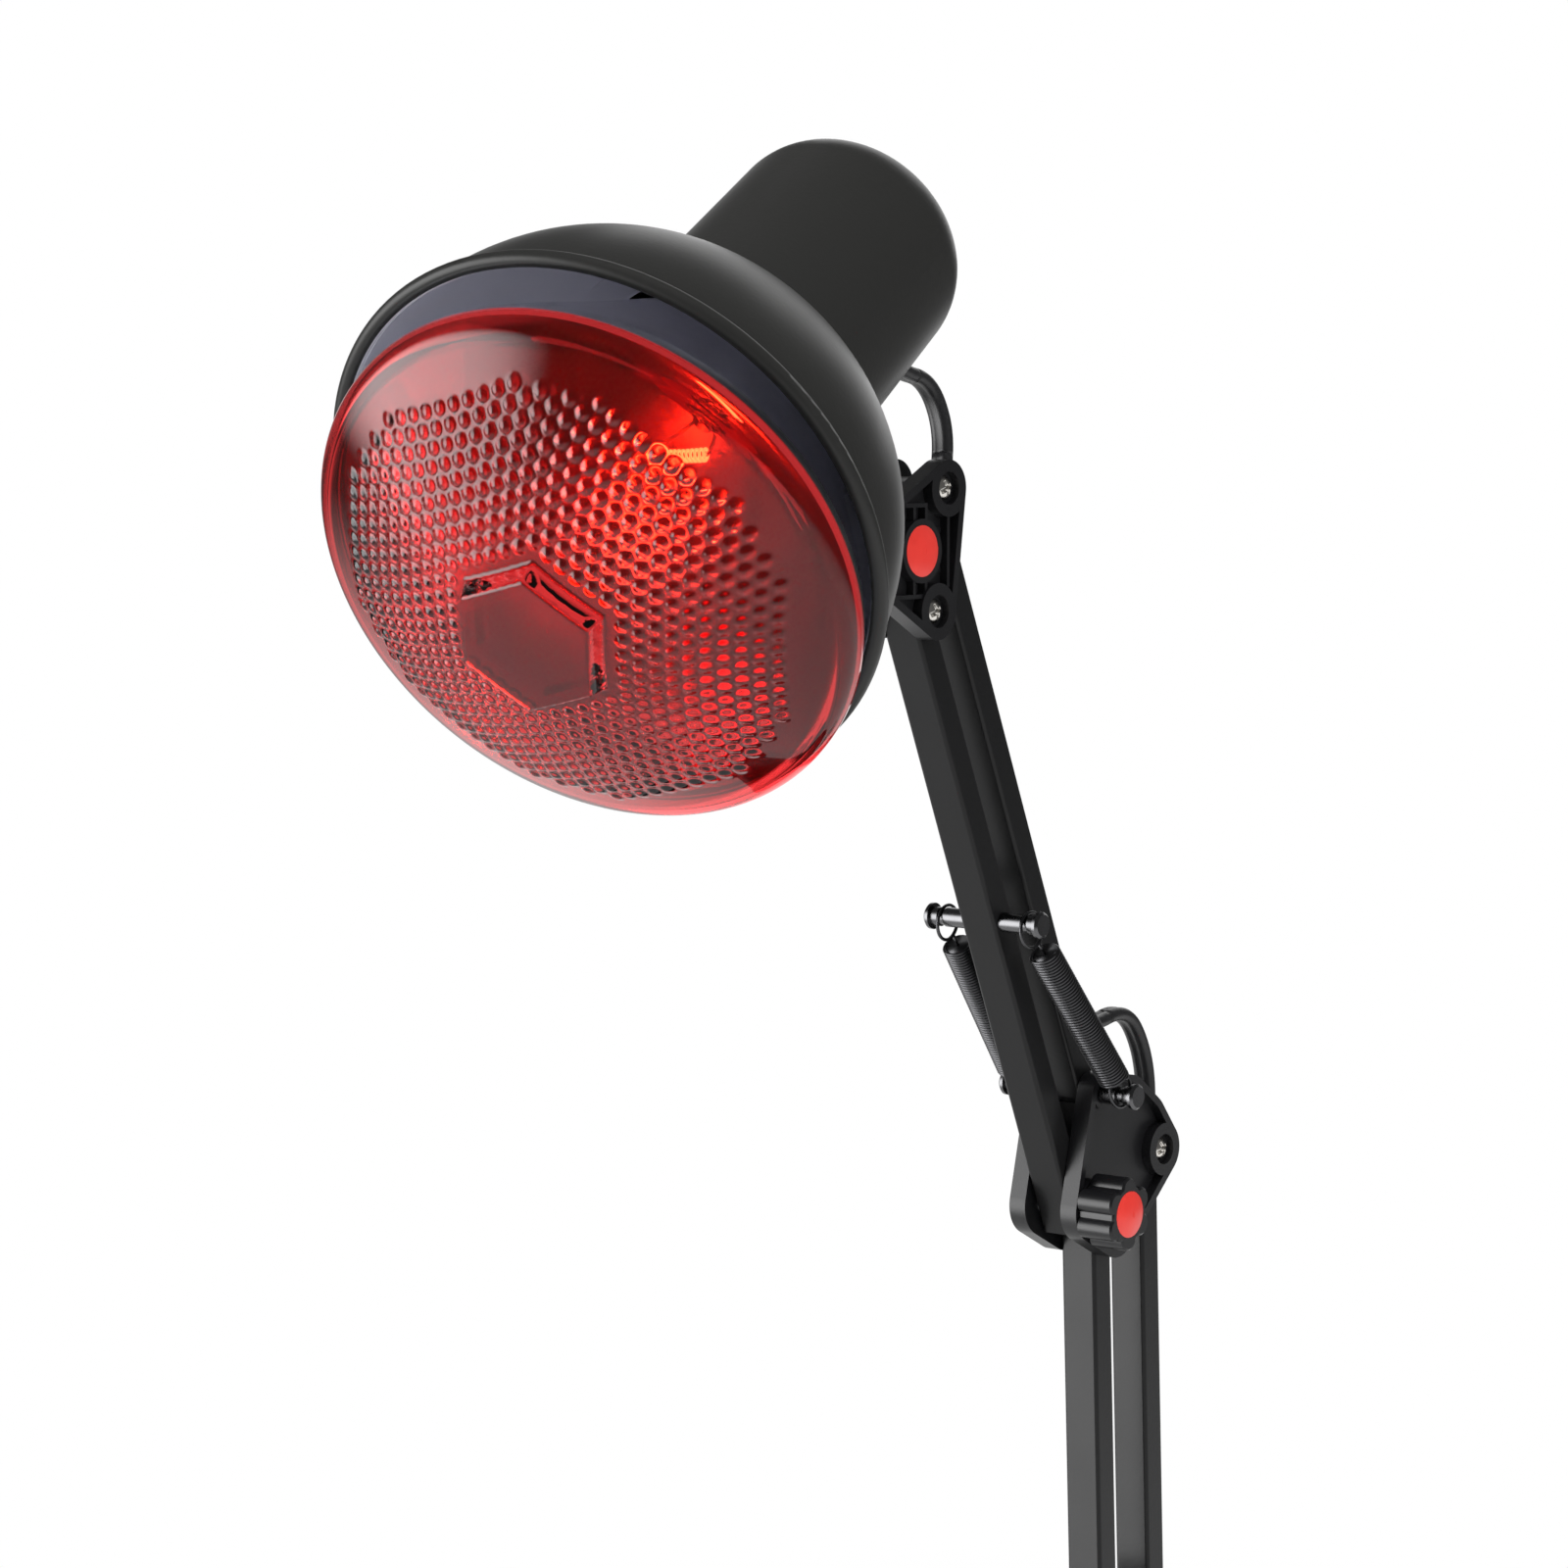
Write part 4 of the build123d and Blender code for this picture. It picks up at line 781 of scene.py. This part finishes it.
# %% [markdown]
# ## Behind the glass
# The body of the bulb is silvered inside and out. A glass stem carries two wires and a short coil of
# tungsten near the focus, so the mirror throws its glow forward through the red front.

# %% Reflector, stem and filament
silver = Finish("silvered_glass", Metallic=1.0)
cloud = silver.noise(50.0, 4.0)
silver.set("Base Color", silver.ramp(cloud, (0.3, (0.74, 0.74, 0.80)), (0.7, (0.86, 0.86, 0.90))))
silver.set("Roughness", silver.noise(70.0, 4.0) * 0.10 + 0.16)
silver.dress("bulb_reflector")
stem_glass = Finish("stem_glass", Base_Color=(0.95, 0.97, 0.97), Transmission_Weight=1.0, IOR=1.5)
stem_glass.set("Roughness", stem_glass.noise(100.0) * 0.04 + 0.02)
glow = Finish("tungsten", Base_Color=(0.3, 0.3, 0.3), Metallic=1.0, Emission_Strength=60.0)
glow.set("Emission Color", glow.ramp(glow.noise(60.0), (0.3, (1.0, 0.30, 0.06)), (0.7, (1.0, 0.42, 0.12))))
glow.set("Roughness", glow.noise(500.0) * 0.2 + 0.3)

stem = spun([(0, 44), (2.6, 44), (3.4, 46), (3.4, 52), (6.5, 62), (6.5, 65), (0, 65)], 32)
stem_piece = piece("stem", stem, stem_glass, "lamp", in_bulb)
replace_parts(stem_piece, "bulb_filament")
LEAD_R, LEAD_SIDES = 0.45, 8
LOOP_R, LOOP_WIRE, LOOPS, LOOP_RISE, LOOP_STEPS = 1.3, 0.35, 14, 1.1, 12
lead_ring = [(LEAD_R * cos(2 * pi * k / LEAD_SIDES), LEAD_R * sin(2 * pi * k / LEAD_SIDES))
             for k in range(LEAD_SIDES)]
for side, word in ((-1, "far"), (1, "near")):
    bends = [(side * 2, 0, 50), (side * 3, 0, 42), (side * 7, 0, 36), (side * 7.5, 0, 30)]
    piece(f"stem_wire_{word}", swept(bends, lead_ring, Vector((0, 1, 0))), zinc, "lamp", in_bulb)

filament_bm = bmesh.new()
face_on = Matrix.Translation((LOOP_R, 0, 0)) @ Matrix.Rotation(pi / 2, 4, "X")
circle = bmesh.ops.create_circle(filament_bm, segments=6, radius=LOOP_WIRE, matrix=face_on)
rim = list({e for v in circle["verts"] for e in v.link_edges})
bmesh.ops.spin(filament_bm, geom=circle["verts"] + rim, cent=(0, 0, 0), axis=(0, 0, 1), angle=2 * pi * LOOPS,
               steps=LOOPS * LOOP_STEPS, dvec=(0, 0, LOOP_RISE / LOOP_STEPS))
bmesh.ops.recalc_face_normals(filament_bm, faces=filament_bm.faces)
across = Matrix.Translation((-LOOPS * LOOP_RISE / 2, 0, 30)) @ Matrix.Rotation(pi / 2, 4, "Y")
piece("filament", filament_bm, glow, "lamp", in_bulb @ across)

# %% [markdown]
# ## Studio
# A white sweep, on which the lamp stands out dark. Satin black and glass show little but what they mirror,
# so the room has two faces. The camera sees plain white, while mirrors see a dim room with a bright
# backdrop behind the lamp and one soft window to the left of the camera. Four broad lamps give the plain
# light: the key from the left, one overhead, one from the right for the red caps, and a faint one from
# behind. The first three leave no mirror image, so that no second window shows in the glass.

# %% Floor, backdrop and light
scene = bpy.context.scene
scene.view_settings.view_transform = "Standard"
# Each pair of cosines says where a glow begins and where it is full; the third number is how bright.
WHITE, DIM, PLAIN = (1.0, 1.0, 1.0), 0.10, 0.35
BACKDROP, WINDOW = (0.86, 0.995, 0.9), (0.82, 0.985, 6.0)
WINDOW_WAY = Vector((-0.66, -0.75, -0.04)).normalized()
LIT = Vector((0, -0.1, 0.35))


def room(graph, aim):
    """What a mirror sees along a direction: a dim room, the white backdrop and one soft window of light."""
    backdrop = graph.eased(graph.dot(aim, sight), *BACKDROP)
    window = graph.eased(graph.dot(aim, WINDOW_WAY), *WINDOW)
    return backdrop + window + DIM


def mirrored(path):
    """1 for the rays that shiny and clear surfaces send out."""
    return path.num("Is Glossy Ray").math("MAXIMUM", path.num("Is Transmission Ray"))


sweep = Finish("floor", Base_Color=(0.86, 0.86, 0.86), Roughness=0.9, Specular_IOR_Level=0.1)
path = sweep.add("ShaderNodeLightPath")
mirror, camera_ray = mirrored(path), path.num("Is Camera Ray")
away = sweep.add("ShaderNodeVectorMath", {"operation": "LENGTH"}, {0: sweep.place()}).num("Value")
back = sweep.add("ShaderNodeNewGeometry").out("Incoming")
aim = sweep.add("ShaderNodeVectorMath", {"operation": "SCALE"}, {0: back, "Scale": -1.0}).out("Vector")
near = (1.475 - away * 0.75).clamp()
level = near.math("MAXIMUM", room(sweep, aim)).math("MAXIMUM", camera_ray)
white = sweep.add("ShaderNodeEmission", None, {"Color": WHITE, "Strength": level}).out("Emission")
lit = mirror.math("MAXIMUM", camera_ray) * (((away - 0.25) * 3.0).clamp() * 0.15 + 0.85)
mix = sweep.add("ShaderNodeMixShader", None, {0: lit, 1: sweep.shader.outputs[0], 2: white}).out("Shader")
sweep.join(mix, sweep.tree.nodes["Material Output"].inputs["Surface"])

floor_bm = bmesh.new()
bmesh.ops.create_grid(floor_bm, x_segments=1, y_segments=1, size=30000)
floor = piece("floor", floor_bm, sweep, None)
floor.data.transform(Matrix.Translation((0, 0, -0.0005)))

world = bpy.data.worlds.new("studio")
scene.world = world
world.use_nodes = True
air = Graph(world.node_tree)
sky = air.tree.nodes["Background"]
air.join(WHITE, sky.inputs["Color"])
path = air.add("ShaderNodeLightPath")
aim = air.add("ShaderNodeTexCoord").out("Generated")
mirror, camera_ray = mirrored(path), path.num("Is Camera Ray")
plain = (1 - mirror) * PLAIN
strength = (room(air, aim) * mirror + plain) * (1 - camera_ray) + camera_ray
air.join(strength, sky.inputs["Strength"])


def softbox(name, place, wide, high, power, in_mirrors=False):
    """Soft lamp aimed at the arm; mirrors show it only where that is asked for."""
    light = bpy.data.lights.new(name, "AREA")
    light.shape, light.size, light.size_y, light.energy = "RECTANGLE", wide, high, power
    obj = bpy.data.objects.new(name, light)
    obj.location = place
    obj.rotation_euler = (LIT - Vector(place)).to_track_quat("-Z", "Y").to_euler()
    obj.visible_glossy = in_mirrors
    scene.collection.objects.link(obj)


softbox("key", (-1.1, -1.2, 1.0), 1.0, 1.4, 16.0)
softbox("top", (0.1, -0.5, 1.5), 0.9, 0.7, 9.0)
softbox("side", (1.5, -0.1, 0.7), 0.35, 1.2, 10.0)
softbox("rim", (-0.4, 0.9, 0.9), 0.8, 0.8, 2.2, in_mirrors=True)
